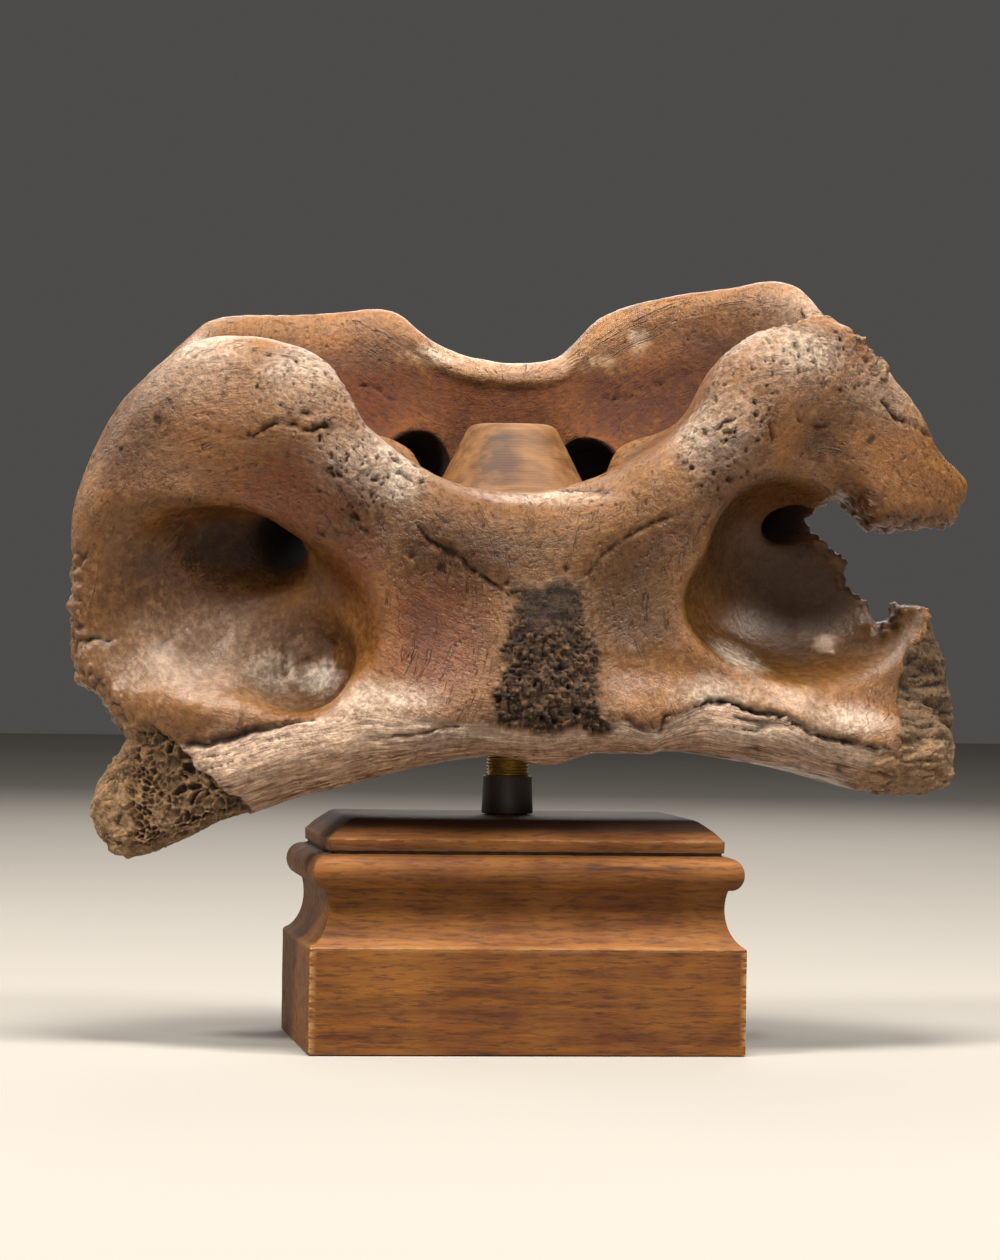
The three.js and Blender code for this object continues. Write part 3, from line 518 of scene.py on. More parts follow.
features = {  # where the surface changes: centre and half sizes of egg shaped patches, in mm
    "pores": [  # pitted bone on the two cup lips
        ((-50, -36, 150), (18, 15, 11)), ((-43, -39, 137), (10, 10, 13)), ((-34, -38, 127), (12, 10, 8)),
        ((54, -33, 158), (18, 17, 11)), ((45, -39, 146), (13, 11, 15)), ((70, -28, 156), (14, 14, 9)),
        ((72, 0, 170), (10, 16, 8)), ((38, -39, 133), (9, 10, 11))],
    "fewPores": [
        ((-80, -24, 140), (26, 22, 24)), ((40, -38, 125), (24, 16, 22)), ((-15, -38, 113), (30, 12, 15)),
        ((75, -28, 145), (30, 20, 18)), ((-40, -35, 120), (26, 14, 16))],
    "red": [
        ((-56, -31, 122), (24, 22, 17)), ((-24, -34, 92), (18, 18, 22)), ((-40, -30, 108), (12, 18, 14)),
        ((-34, 22, 148), (12, 10, 16)), ((12, -38, 70), (22, 10, 7)), ((-34, -34, 66), (20, 12, 7)),
        ((62, -14, 118), (16, 16, 14))],
    "dullBrownAndShade": [((24, -34, 98), (16, 16, 20)), ((-5, -38, 112), (20, 9, 8)), ((50, -19, 90), (20, 18, 12))],
    # paler bone on the lips, with painted highlights on the lobes' tops, the lips and the bar, and painted light on
    # the left wing hollow's floor
    "paleAndHighlight": [
        ((-50, -36, 150), (22, 18, 14)), ((54, -33, 158), (22, 18, 14)), ((-40, -38, 132), (14, 10, 12)),
        ((42, -40, 142), (12, 10, 16)), ((-78, -22, 152), (22, 22, 14)), ((84, -22, 150), (20, 22, 12)),
        ((0, 28, 157), (30, 12, 5)), ((66, 12, 171), (22, 16, 9)), ((-72, -10, 86), (34, 22, 17)),
        ((-60, -14, 76), (22, 14, 8)), ((40, -37, 81), (9, 9, 5)), ((58, -32, 79), (14, 10, 5)),
        ((76, -27, 75), (12, 10, 5)), ((-36, -36, 80), (12, 10, 5))],
    # painted shade: darker patches in the foramina, the canal and the right wing hollow
    "shade": [
        ((-64, -8, 113), (20, 16, 9)), ((60, -4, 119), (10, 12, 9)), ((0, 12, 128), (34, 24, 11)),
        ((0, 0, 100), (23, 22, 34)), ((66, -6, 104), (22, 20, 18))],
    # fainter painted shade on the arch walls, the bar and the right wing hollow
    "dusk": [
        ((-24, -34, 94), (8, 9, 13)), ((-19, -38, 71), (12, 8, 5)), ((62, -10, 93), (12, 14, 10)),
        ((40, -38, 127), (8, 8, 9)), ((38, -30, 66), (14, 10, 4))],
    "polish": [
        ((-70, -14, 84), (34, 20, 18)), ((-50, -12, 88), (18, 20, 16)), ((52, -20, 92), (24, 22, 16)),
        ((62, -34, 79), (38, 12, 9)), ((-42, -32, 79), (28, 14, 9)), ((25, -37, 84), (20, 10, 9)),
        ((-31, -38, 126), (10, 10, 9)), ((31, -37, 131), (9, 10, 9)), ((46, -22, 86), (12, 14, 9))],
    "bloomAndHighlight": [  # a whitish bloom of wax on the ridges, and painted highlights on the lips, the bar and the right wing hollow
        ((-33, -38, 131), (12, 10, 13)), ((-34, -37, 78), (20, 10, 6)), ((40, -36, 80), (15, 10, 6)),
        ((70, -29, 75), (20, 10, 5)), ((35, -38, 138), (8, 10, 12)), ((60, -31, 158), (16, 14, 8)),
        ((-16, 26, 158), (10, 8, 4)), ((47, -22, 87), (8, 12, 6)), ((2, -36, 124), (22, 8, 3)),
        ((-72, -20, 156), (12, 16, 7)), ((-52, -34, 152), (14, 14, 6)), ((72, 2, 170), (9, 14, 7)),
        ((52, -35, 72), (22, 8, 4)), ((-31, -39, 127), (7, 8, 7))],
    # painted highlights: whitish glints in the right wing hollow, on the left lip and in the left dimple
    "glintHighlight": [
        ((47, -24, 88), (10, 12, 7)), ((-31, -39, 128), (8, 9, 9)), ((-46, -14, 83), (7, 12, 5)),
        ((-57, -14, 84), (9, 12, 7))],
    "warm": [  # paler, warmer patches on the lobes, the right wing and the cups' back rims
        ((-72, -28, 137), (17, 14, 13)), ((79, -24, 136), (16, 14, 12)), ((35, 27, 160), (12, 9, 6)),
        ((-40, 28, 161), (9, 8, 4)), ((0, 30, 156), (26, 10, 4)), ((56, -33, 140), (10, 10, 12))],
    "crumbled": [  # rim of the right lobe, broken into crumbs
        ((58, -28, 168), (22, 16, 8)), ((73, -4, 172), (14, 18, 8)), ((79, -24, 160), (10, 13, 12))],
    "chips": [
        ((71.4, -9.6, 92.3), (2.1, 6, 3.1)), ((32.9, 26.7, 163.1), (2.2, 6, 2.4)), ((24, 24.4, 158), (4, 5, 1.6)),
        ((22, -37, 92), (0.8, 3, 1.2)), ((-23, -37, 97), (0.7, 3, 1.4))],
    "ripples": [  # floors of the wing hollows: centre, half sizes, slant, height, seed
        ((-68, -12, 84), (36, 22, 18), 0.5, 0.9, 21), ((52, -20, 88), (24, 20, 15), -0.5, 0.5, 22)],
    "crinkle": ((-46, -10, 85), (13, 18, 11)),
    "poreSizes": [  # kind, spacing, share of the cells that hold one, depth, seed
        ("pores", 1.9, 0.74, 1.0, 81), ("pores", 1.15, 0.65, 0.55, 82), ("fewPores", 3.4, 0.14, 0.45, 83),
        ("fewPores", 1.6, 0.1, 0.35, 89)],
    "glassy": (  # hollows of the front with the smoothest wax
        "left wing hollow", "left wing edge", "left inner dimple", "right wing hollow", "right upper hollow",
        "left foramen mouth"),
    "barTop": [
        (-100, 67), (-80, 67.2), (-68, 68.6), (-56, 72.8), (-46, 74.5), (-38, 76), (-30, 75), (-14, 73.5), (0, 72),
        (18, 74.5), (27, 72.5), (33, 76.4), (39, 79.2), (49, 77.4), (58, 75.6), (66, 71.4), (82, 68.4), (110, 66)],
    "stubStep": ((-80, 69), (-58, 50)),  # edge of the shell over the spongy bone of the left stub
    "lobeCentres": ((-64, 99), (64, 103)),  # x, z that the wings' fibres run round
}


def eggShare(p, centre, size, edge=0.5):  # 1 in the middle of an egg shaped patch, 0 from its rim on
    return fade(edge, 1, np.sqrt((((p - centre) / size) ** 2).sum(1)))


def patches(p, name, edge=0.5):
    return np.max([eggShare(p, centre, size, edge) for centre, size in features[name]], axis=0)


def barAcross(x, z):  # height across the lower bar, 0 at its lower edge and 20 at its top
    low, high = heightAt(bone["lowerEdge"], x), heightAt(features["barTop"], x)
    return 20 * (z - low) / np.maximum(high - low, 3)


def barGrain(p):  # places along, through and across the lower bar, drawn out along its fibres
    x, y, z = p.T
    return np.stack([x / 9, (y - (0.0027 * x ** 2 - 32)) * 0.35, barAcross(x, z)], 1)


def regions(p):  # share of each kind of surface at every point
    x, y, z = p.T
    coarse, fine = noise(p, 4.5, 41), noise(p, 1.8, 42)
    (ax, az), (bx, bz) = features["stubStep"]
    length = math.hypot(bx - ax, bz - az)
    past = ((z - az) * (bx - ax) - (x - ax) * (bz - az)) / length + 1.5 * coarse + 0.8 * fine
    stub = fade(-0.5, 0.3, past) * fade(70, 73, z) * fade(-4, 2, y) * fade(-56, -53, x)
    outer = fade(-89, -85, x + 2 * coarse)
    edgeX = 86.5 + 0.16 * (z - 76) + 1.8 * coarse + 0.9 * fine
    rightEnd = ramp(-0.4, 0.4, x - edgeX - 6 * ramp(88, 98, z)) * fade(99, 103, z)
    corner = np.sqrt(((x - 93) / 22) ** 2 + ((y + 18) / 20) ** 2 + ((z - 62.5) / 11) ** 2)
    chunk = fade(0.7, 1, corner + 0.12 * coarse) * (1 - rightEnd)
    spread = 12.6 - 4.5 * ramp(72, 108, z) + 2.2 * coarse + 1.4 * fine
    knob = (fade(-2, 1.6, np.abs(x - 3.0) - spread) * ramp(70.5, 73.5, z + 2 * coarse)
            * fade(102, 106.5, z + 1.2 * coarse) * fade(-34, -30, y))
    bar = (fade(-0.7, 0.7, z - heightAt(features["barTop"], x) + 0.5 * fine)
           * fade(-6, 4, y) * (1 - knob) * (1 - stub))
    nearEdge = np.abs(outlineDistance(x, z))
    wingBreak = np.maximum(fade(2.5, 6, nearEdge) * fade(-84, -78, x) * ramp(70, 74, z) * fade(108, 116, z),
                           fade(1.5, 4, nearEdge) * ramp(64, 70, x) * ramp(90, 94, z) * fade(124, 128, z))
    raw = np.maximum(stub, rightEnd)
    return dict(stub=stub * (1 - outer), stubEnd=stub * outer, rightEnd=rightEnd, chunk=chunk, knob=knob,
                bar=bar * (1 - rightEnd), wingBreak=wingBreak * (1 - raw), pores=patches(p, "pores") * (1 - raw),
                fewPores=patches(p, "fewPores") * (1 - raw) * fade(-12, -6, y))


def crackDepth(p):
    depth, shade = np.zeros(len(p)), np.zeros(len(p))
    wander = wobble(p, 3, (51, 52, 53)) * 0.55 + wobble(p, 1.1, (54, 55, 56)) * 0.3
    for width, deep, dark, line in cracks.values():
        low, high = np.min(line, axis=0) - 3, np.max(line, axis=0) + 3
        near = np.all((p > low) & (p < high), axis=1)
        gap, along = nearLine(p[near] + wander[near], line)
        taper = np.sqrt(np.clip(np.minimum(along, 1 - along) * 6, 0.08, 1))
        gap = gap / (width * taper)
        depth[near] = np.maximum(depth[near], deep * fade(0, 1, gap) * taper)
        shade[near] = np.maximum(shade[near], dark * fade(0.2, 0.75, gap))
    return depth, shade


def poreDepth(p, size, share, seed):
    first, _, owner = cellNoise(p, size, seed)
    radius = 0.14 + 0.22 * ((owner * 7.3) % 1)
    return fade(0.6, 1.15, first / radius) * (owner < share)


# Each kind of broken or worn surface gives its relief in mm and the painted shade of its holes and low spots; the
# tubercle's dark top is its own colour.
def spongyStub(q):  # spongy bone of the left stub, sunk below the shell's ragged edge
    q = q + 0.5 * wobble(q, 2.6, (63, 64, 65))
    cells = []
    for size, wall, seed in ((2.7, 0.16, 61), (1.45, 0.24, 62)):
        first, second, owner = cellNoise(q, size, seed)
        cells.append(ramp(wall * 0.35, wall, second - first) * (0.35 + 0.65 * owner))
    inner = ramp(-88, -76, q[:, 0] + 3 * noise(q, 6, 66))
    cell = np.maximum(cells[0] * inner, cells[1] * (0.75 - 0.35 * inner))
    return -(1.3 + 2.2 * cell + 0.6 * noise(q, 4.5, 67)), np.clip(1.1 * cell, 0, 0.88)


def crumblingEnd(q, sunk, seed):  # outer end of the stub, and the lower corner of the right end
    lean = np.stack([q[:, 0] * 0.55 + q[:, 2] * 0.2, q[:, 1], q[:, 2] - 0.35 * q[:, 0]], 1)
    crumb = grit(lean, (3.4, seed, 1.3), (1.6, seed + 10, 0.8)) + grit(q, (0.8, seed + 20, 0.35))
    return crumb * 1.25 - 0.9 - sunk, fade(0.12, 0.55, crumb) * 0.9


def layeredEnd(q):  # right end: broken layers lying one over another
    lean = np.stack([q[:, 0] * 0.34, q[:, 1] * 0.3, q[:, 2] + 0.8 * noise(q, 6, 31)], 1)
    crumb = grit(lean, (2.7, 33, 1.3), (1.3, 34, 0.7)) + grit(q, (0.8, 35, 0.3))
    dark = 0.2 + 0.44 * ramp(66, 74, q[:, 2]) + 0.34 * fade(0.12, 0.6, crumb)
    return 1.3 * crumb - 1.7 + 0.6 * noise(q, 5, 36), dark


def crustyKnob(q):  # tubercle: crusty grains with larger pits low down, worn smooth and darkest at the top
    crumb = grit(q, (1.5, 71, 1), (0.8, 74, 0.8))
    pits = poreDepth(q + 0.5 * wobble(q, 1.3, (75, 76, 77)), 3.0, 0.7, 72) * fade(80, 94, q[:, 2])
    calm = ramp(92, 98, q[:, 2]) * fade(5, 9, np.abs(q[:, 0] - 2.5))
    rise = (1 - 0.7 * calm) * (1.1 * crumb - 0.5) - 0.2 + 0.35 * noise(q, 3.2, 73) - 1.3 * pits
    return rise, np.max([fade(0.1, 0.45, crumb) * 0.75, pits, 0.65 * calm], axis=0)


def splitBar(q):  # weathered fibres and splits along the lower bar, and a lost plate on its right
    grain = barGrain(q)
    plate = ramp(27, 30, q[:, 0]) * ramp(-0.3, 0.3, 20 - grain[:, 2])
    grain[:, 2] += 0.25 * noise(q, 5, 97)
    fibre = noise(grain, 1.3, 91) + 0.6 * noise(grain, 0.75, 92)
    split = fade(0.0, 0.14, np.abs(noise(grain, 2.3, 93)))
    split = split * ramp(-0.2, 0.25, noise(q, 7, 96)) * (0.45 + 0.55 * ramp(30, 45, np.abs(q[:, 0])))
    return 0.07 * fibre - 0.6 * split - 0.75 * plate, 0.75 * split


def raggedWing(q):  # broken edges of the wings
    crumb = grit(q * (1, 0.5, 1), (3.4, 94, 1.2)) + grit(q, (1.7, 95, 0.8))
    return 1.3 * crumb - 0.9, fade(0.1, 0.4, crumb) * 0.8


def crumbledRim(q):  # rim of the right lobe
    crumb = grit(q + 0.6 * wobble(q, 2.2, (101, 102, 103)), (2.6, 104, 1.2), (1.2, 105, 0.7))
    return 1.5 * crumb - 1.0, fade(0.1, 0.4, crumb) * 0.7


def dressBone(p, normals, part):
    x, y, z = p.T
    frontal = np.clip(-normals[:, 1] * 2, 0, 1)
    facing = 0.25 + 0.75 * np.clip(-normals[:, 1] * 1.4, 0, 1)  # keeps the outline where broken bone is sunk
    raw = np.max([part[key] for key in ("stub", "stubEnd", "rightEnd", "knob")], axis=0)
    polish = patches(p, "polish") * (1 - part["bar"])
    wrinkled = np.clip(1.2 * part["pores"] + 0.45 * part["fewPores"] * ramp(-0.2, 0.5, noise(p, 9, 9)), 0, 1.3)
    out = 0.35 * noise(p, 21, 1) + 0.2 * noise(p, 8.5, 2) + 0.07 * noise(p, 3.4, 3)
    wrinkles = grit(p * (0.8, 0.5, 1), (2.6, 7, 0.3)) + grit(p, (1.2, 8, 0.22))
    out = out + (1 - polish) * (1 - raw) * (0.09 * noise(p, 1.7, 4) + wrinkled * wrinkles)
    depth, crackShade = crackDepth(p)
    out = out - depth * (1 - raw)
    holeShadeAndStain = np.zeros(len(p))

    # back: uneven seats of the neck muscles and a rough median tubercle
    back = ramp(4, 16, y) * np.clip(normals[:, 1] * 2, 0, 1)
    ridge = fade(0.3, 1, np.sqrt(((x + 1) / 9) ** 2 + ((z - 134) / 20) ** 2))
    out = out + back * (0.7 * noise(p, 13, 11) + 0.3 * noise(p * (1, 1, 0.45), 4.5, 12))
    out = out + back * ridge * (grit(p * (1, 1, 0.6), (3.2, 13, 1.1)) + grit(p, (1.4, 14, 0.6)) - 0.5)

    # the dorsal arch's inner wall lies back under its rounded rim
    below = heightAt(bone["backRim"], x) - z
    out = out - (1.1 * ramp(4.5, 6.5, below) * fade(18, 27, np.abs(x)) * ramp(8, 14, y)
                 * frontal * ramp(122, 126, z))

    # floors of the wing hollows: slanting ripples, and crinkles in the left dimple
    for centre, size, slant, height, seed in features["ripples"]:
        ripple = np.stack([(x * 0.8 + slant * z) / 2.4, y * 0.6, z - slant * x], 1)
        out += eggShare(p, centre, size) * height * (noise(ripple, 4.4, seed) * 0.7
                                                     + noise(ripple, 1.9, seed + 5) * 0.28)
    bent = p * (1, 0.6, 1) + 0.8 * wobble(p, 3, (25, 26, 27))
    out -= eggShare(p, *features["crinkle"]) * (
        0.9 * fade(0, 0.45, np.abs(noise(bent, 3.2, 23))) + grit(bent, (1.9, 24, 0.55)))

    def dress(share, relief, *settings, weight=np.ones(len(p))):
        use = share > faint
        rise, dark = relief(p[use], *settings)
        out[use] += share[use] * weight[use] * rise
        holeShadeAndStain[use] = np.maximum(holeShadeAndStain[use], share[use] * dark)

    dress(part["stub"], spongyStub, weight=facing)
    dress(part["stubEnd"], crumblingEnd, 0.7, 68)
    dress(part["chunk"], crumblingEnd, 0.2, 69)
    dress(part["rightEnd"], layeredEnd, weight=facing)
    dress(part["knob"], crustyKnob)
    # pores: sunk, with painted shade inside
    for key, size, share, deep, seed in features["poreSizes"]:
        use = (part[key] > faint) & (raw < 0.7)
        q = p[use]
        pore = poreDepth(q + 0.7 * wobble(q, 1.2, (84, 85, 86)), size, share, seed)
        pore = pore * ramp(0.05, 0.45, part[key][use] + 0.25 * noise(q, 6, 88))
        out[use] -= deep * pore
        holeShadeAndStain[use] = np.maximum(holeShadeAndStain[use], pore * 0.68)
    dress(part["bar"], splitBar)
    dress(part["wingBreak"], raggedWing)
    dress(patches(p, "crumbled", 0.4) * (1 - raw), crumbledRim)
    return out, holeShadeAndStain, crackShade, raw, polish


def curvature(points, faces):  # how far each point stands out of its smoothed surroundings, in mm
    pairs = np.concatenate([faces[:, [a, (a + 1) % 4]] for a in range(4)])
    pairs = pairs[pairs[:, 0] != pairs[:, 1]]
    pairs = np.concatenate([pairs, pairs[:, ::-1]])
    degree = np.bincount(pairs[:, 0], minlength=len(points))[:, None]
    soft = points
    for _ in range(40):
        soft = np.stack([np.bincount(pairs[:, 0], soft[pairs[:, 1], a], len(points)) for a in range(3)], 1) / degree
    return points - soft


def refine(points, quads, rounds):  # divides the faces where the surface is broken, porous or cracked
    mesh = bpy.data.meshes.new("net")
    mesh.from_pydata(points.tolist(), [], quads.tolist())
    shape = bmesh.new()
    shape.from_mesh(mesh)
    for level in range(rounds):
        centres = np.array([face.calc_center_median() for face in shape.faces])
        part = regions(centres)
        broken = np.max([part[key] for key in ("stub", "stubEnd", "rightEnd", "chunk", "knob")], axis=0)
        chosen = broken > (0.3 if level else 0.04)
        if not level:
            chosen |= np.max([part[key] for key in ("pores", "wingBreak", "bar", "fewPores")], axis=0) > 0.25
            chosen |= crackDepth(centres)[0] > faint
        edges = {edge for face, use in zip(shape.faces, chosen) if use for edge in face.edges}
        bmesh.ops.subdivide_edges(shape, edges=list(edges), cuts=1, use_grid_fill=True)
    bmesh.ops.triangulate(shape, faces=[face for face in shape.faces if len(face.verts) > 4])
    shape.verts.index_update()
    places = np.array([vert.co for vert in shape.verts])
    faces = [[vert.index for vert in face.verts] for face in shape.faces]
    shape.free()
    bpy.data.meshes.remove(mesh)
    return places, faces


def surfaceValues(points, normals, faces, part, dressed):  # what the material is told at each point
    holeShadeAndStain, crackShade, raw, polish = dressed
    x, y, z = points.T
    fours = np.array([face if len(face) == 4 else face + face[-1:] for face in faces])
    # painted light on bulges and painted shade in hollows, from how far each point stands out
    curvatureShade = (curvature(points, fours) * normals).sum(1)
    frontal = fade(-8, 6, y)
    left, right = features["lobeCentres"]
    centreX, centreZ = np.where(x < 0, left[0], right[0]), np.where(x < 0, left[1], right[1])
    radius, around = np.hypot(x - centreX, z - centreZ), np.arctan2(x - centreX, z - centreZ)
    fossa = np.max([fade(0.4, 2.0, np.abs(eggDistance(bone["hollows"][key], x, y, z)))
                    for key in features["glassy"]], axis=0) * frontal
    passage = np.zeros(len(x))
    for start, end, radiusA, radiusB, _ in bone["passages"]:
        axis = np.array(end, float) - start
        depth = ramp(-0.12, 0.2, (points - start) @ axis / (axis @ axis))
        inside = fade(0.0, 1.6, strutDistance(start, end, radiusA, radiusB, x, y, z))
        passage = np.maximum(passage, inside * depth)
    # painted shade from the shade and dusk patches, and inside the passages
    shade = np.max([patches(points, "shade", 0.3) * np.where((x > 40) & (z < 112), 0.45, 0.75),
                    passage * 0.9, patches(points, "dusk", 0.2) * 0.3], axis=0)
    # painted shade on the cups' lower walls and the arch's inner wall, under their rims
    below = heightAt(bone["backRim"], x) - z
    side = ramp(15, 30, np.abs(x))
    cupWallShade = (ramp(4, 7 + 13 * side, below) * ramp(-2, 8, y - 6 * side)
               * np.clip(-normals[:, 1] * 2, 0, 1) * ramp(118, 124, z))
    chips = patches(points, "chips", 0.8)
    bar, sound = part["bar"], 1 - raw
    barTop = bar * ramp(7, 15, barAcross(x, z)) * (1 - part["chunk"])
    return {
        "curvatureShade": np.clip(curvatureShade / 1.6, -1, 1),
        "raw": np.maximum(raw, 0.75 * part["chunk"]) * (1 - part["knob"]),
        "knob": part["knob"],
        "bar": bar * (1 - part["chunk"]),
        "red": patches(points, "red", 0.2) * (1 - bar),
        # dull brown patches, and painted shade over the right wing hollow
        "dullBrownAndShade": np.maximum(np.where(x < 0, 0.15, 1.0) * fossa, patches(points, "dullBrownAndShade", 0.2)),
        # paler bone and chips, and painted highlights along the bar's top
        "paleAndHighlight": np.max([patches(points, "paleAndHighlight", 0.1) * (1 - shade), 2.4 * chips, 0.7 * barTop], axis=0),
        # dirt and painted shade: dark cracks and stains, with painted shade in holes, in shaded patches and inside
        # the passages
        "dirtAndShade": np.clip(np.max([holeShadeAndStain, crackShade, shade * (1 - chips)], axis=0), 0, 1),
        "shine": np.clip(polish + 0.8 * fossa + 0.7 * barTop, 0, 1) * sound,
        "coarse": np.clip(part["pores"] + 0.5 * part["fewPores"] + raw + 0.15 * bar, 0, 1),
        "arch": fade(26, 44, np.abs(x)) * fade(26, 34, y),
        "back": 1 - frontal,
        # whitish wax bloom and painted highlights, strongest at the painted glints
        "bloomAndHighlight": np.max([patches(points, "bloomAndHighlight", 0.1) * sound, 0.5 * barTop,
                         1.8 * patches(points, "glintHighlight", 0.1)], axis=0),
        "warm": patches(points, "warm", 0.1) * sound * (1 - shade),
        "smooth": np.clip(np.max([fossa + polish, 0.5 * cupWallShade, 0.6 * bar], axis=0), 0, 1),
        "cupWallShade": cupWallShade,
        "barGrain": barGrain(points),
        "lobeGrain": np.stack([around * 38 / 9, y * 0.3, radius], 1),
        "archGrain": np.stack([x / 7, y * 0.3, z - heightAt(bone["frontRim"], x)], 1),
        "backGrain": np.stack([x, y * 0.3, z / 8], 1),
    }


def makeBone(material):
    points, quads = boneNet(bone["step"])
    print("bone net", len(points), "points")
    points, faces = refine(points, quads, 2)
    points = settle(points)
    print("refined", len(points), "points")
    normals = slopeAt(points, 0.5)
    normals /= np.linalg.norm(normals, axis=1)[:, None] + 1e-9
    part = regions(points)
    out, *dressed = dressBone(points, normals, part)
    values = surfaceValues(points, normals, faces, part, dressed)
    piece = makePiece("fossil_vertebra", points + normals * out[:, None], faces, "vertebra", material, values)
    total = sum(len(face) - 2 for face in faces)
    if total > bone["triangles"]:
        thin = piece.modifiers.new("thin", "DECIMATE")
        thin.ratio = bone["triangles"] / total
    print("bone made,", total, "triangles before thinning")


waxedBone = {
    "low": "#54300f", "high": "#8a5c2b", "mottle": "#63370f", "weathered": "#9b774e", "red": "#763a0f",
    "dullBrownAndShade": "#503619", "paleAndHighlight": "#b89c84", "bloomAndHighlight": "#d6c4b0", "warm": "#a46c38", "cupWallShade": "#b79424",
    "barDark": "#6a4226", "barPale": "#d8b496", "spongyDark": "#6e4c2e", "spongyPale": "#d0a97e",
    "crustDark": "#311e0c", "crustPale": "#6e4e2f", "dirtAndShade": "#1a0e05", "ior": 1.42,
    "fibreWidth": 0.65, "grain": 1.7, "mottled": 5, "patch": 26,  # sizes in mm
    "pinholes": 520, "hairlines": 0.34,  # cells to a metre, and to a mm of the fibres' places
}


def waxedFossilBone():  # mineralised bone rubbed with wax: glassy in the hollows, satin on crests, matt where broken
    look = waxedBone
    material, tree, shader = newMaterial("waxedFossilBone")
    place = addNode(tree, "ShaderNodeTexCoord").outputs["Object"]
    attribute = {name: addNode(tree, "ShaderNodeAttribute", attribute_name=name) for name in (
        "curvatureShade", "raw", "knob", "bar", "red", "dullBrownAndShade", "paleAndHighlight", "dirtAndShade", "shine", "coarse", "arch", "back", "smooth",
        "cupWallShade", "bloomAndHighlight", "warm", "barGrain", "lobeGrain", "archGrain", "backGrain")}
    share = {name: node.outputs["Fac"] for name, node in attribute.items()}
    patch, mottle, grain = (noiseNode(tree, place, 1000 / look[name], detail, 0.68)
                            for name, detail in (("patch", 2), ("mottled", 4), ("grain", 6)))
    # fibres of the bone's own growth, run round the wings, up the back, across the arch and along the bar
    fibre = None
    for name, mask in (("lobeGrain", None), ("backGrain", "back"), ("archGrain", "arch"), ("barGrain", "bar")):
        strand = noiseNode(tree, attribute[name].outputs["Vector"], 1 / look["fibreWidth"], 5, 0.68, 0.5)
        fibre = mixValue(tree, share[mask], fibre, strand) if mask else strand
    # hairline cracks follow the fibres in scattered runs
    bare = mathNode(tree, "SUBTRACT", 1.0, share["smooth"])
    hair = noiseNode(tree, attribute["lobeGrain"].outputs["Vector"], look["hairlines"], 3, 0.55, 0.8)
    hair = mathNode(tree, "ABSOLUTE", mathNode(tree, "SUBTRACT", hair, 0.5))
    hair = product(tree, rangeNode(tree, hair, 0.013, 0.0, 0.0, 0.8), rangeNode(tree, mottle, 0.46, 0.54), bare)
    # pinholes half a millimetre wide, with soft rims
    pin = addNode(tree, "ShaderNodeTexVoronoi", {"Vector": place, "Scale": look["pinholes"], "Randomness": 1.0})
    pin = rangeNode(tree, pin.outputs["Distance"], 0.3, 0.12)
    pin = product(tree, pin, rangeNode(tree, mottle, 0.52, 0.44), bare)

    # tone: random patches, lighter on bulges and darker in hollows as painted light and shade
    height = mathNode(tree, "ADD", patch, product(tree, share["curvatureShade"], 0.4))
    spots, flakes = rangeNode(tree, mottle, 0.4, 0.64), rangeNode(tree, grain, 0.42, 0.66)
    strands = rangeNode(tree, fibre, 0.36, 0.66)
    paint = dict(look, bar=mixColour(tree, strands, look["barDark"], look["barPale"]),
                 spongy=mixColour(tree, grain, look["spongyDark"], look["spongyPale"]),
                 crust=mixColour(tree, flakes, look["crustDark"], look["crustPale"]))
    tone = mixColour(tree, rangeNode(tree, height, 0.3, 0.75), look["low"], look["high"])
    for name, *shares in (  # coats over one another: colour, and shares that are multiplied
            ("mottle", spots, 0.6), ("weathered", flakes, spots, 0.55), ("red", share["red"], 0.6),
            ("warm", share["warm"], 0.55), ("dullBrownAndShade", share["dullBrownAndShade"], 0.65), ("paleAndHighlight", share["paleAndHighlight"], 0.4),
            ("paleAndHighlight", share["paleAndHighlight"], flakes, 0.4), ("bar", share["bar"], 0.7), ("bloomAndHighlight", share["bloomAndHighlight"], 0.25),
            ("bloomAndHighlight", share["bloomAndHighlight"], flakes, 0.5), ("spongy", share["raw"]), ("crust", share["knob"]),
            ("dirtAndShade", share["dirtAndShade"]), ("dirtAndShade", hair), ("dirtAndShade", pin, 0.5)):
        tone = mixColour(tree, product(tree, *shares), tone, paint[name])
    # painted shade darkens the cups' lower walls
    tone = mixColour(tree, share["cupWallShade"], tone, look["cupWallShade"], blend_type="MULTIPLY")
    # painted shade darkens the furrows between strands and grains, and their tops are lifted a little as painted
    # light
    for furrow, darkest, brightest in ((strands, 0.72, 1.02), (flakes, 0.78, 1.06)):
        dull = rangeNode(tree, furrow, 0, 1, darkest, brightest)
        tone = addNode(tree, "ShaderNodeVectorMath", {0: tone, "Scale": dull}, operation="SCALE").outputs[0]

    rough = rangeNode(tree, grain, 0.35, 0.7, 0.24, 0.46)
    for name, value in (("shine", 0.26), ("cupWallShade", 0.9), ("raw", 0.95), ("knob", 0.85), ("dirtAndShade", 0.95)):
        rough = mixValue(tree, share[name], rough, value)
    # relief in mm: strands, grains where the surface is coarse, pinholes and hairlines sunk
    relief = None
    for height, mask, most, least in (
            (fibre, "smooth", 0.1, 0.3), (grain, "coarse", 1.6, 0.55), (grain, "smooth", -0.3, 0.0),
            (mottle, "coarse", 0.5, 0.28), (pin, "coarse", -0.25, -0.18), (hair, "coarse", -0.3, -0.3)):
        layer = product(tree, height, rangeNode(tree, share[mask], 0, 1, least, most))
        relief = layer if relief is None else mathNode(tree, "ADD", relief, layer)
    bump = addNode(tree, "ShaderNodeBump", {"Height": relief, "Strength": 1.0, "Distance": mm})
    surface(tree, shader, tone, rough, bump, look["ior"])
    return material


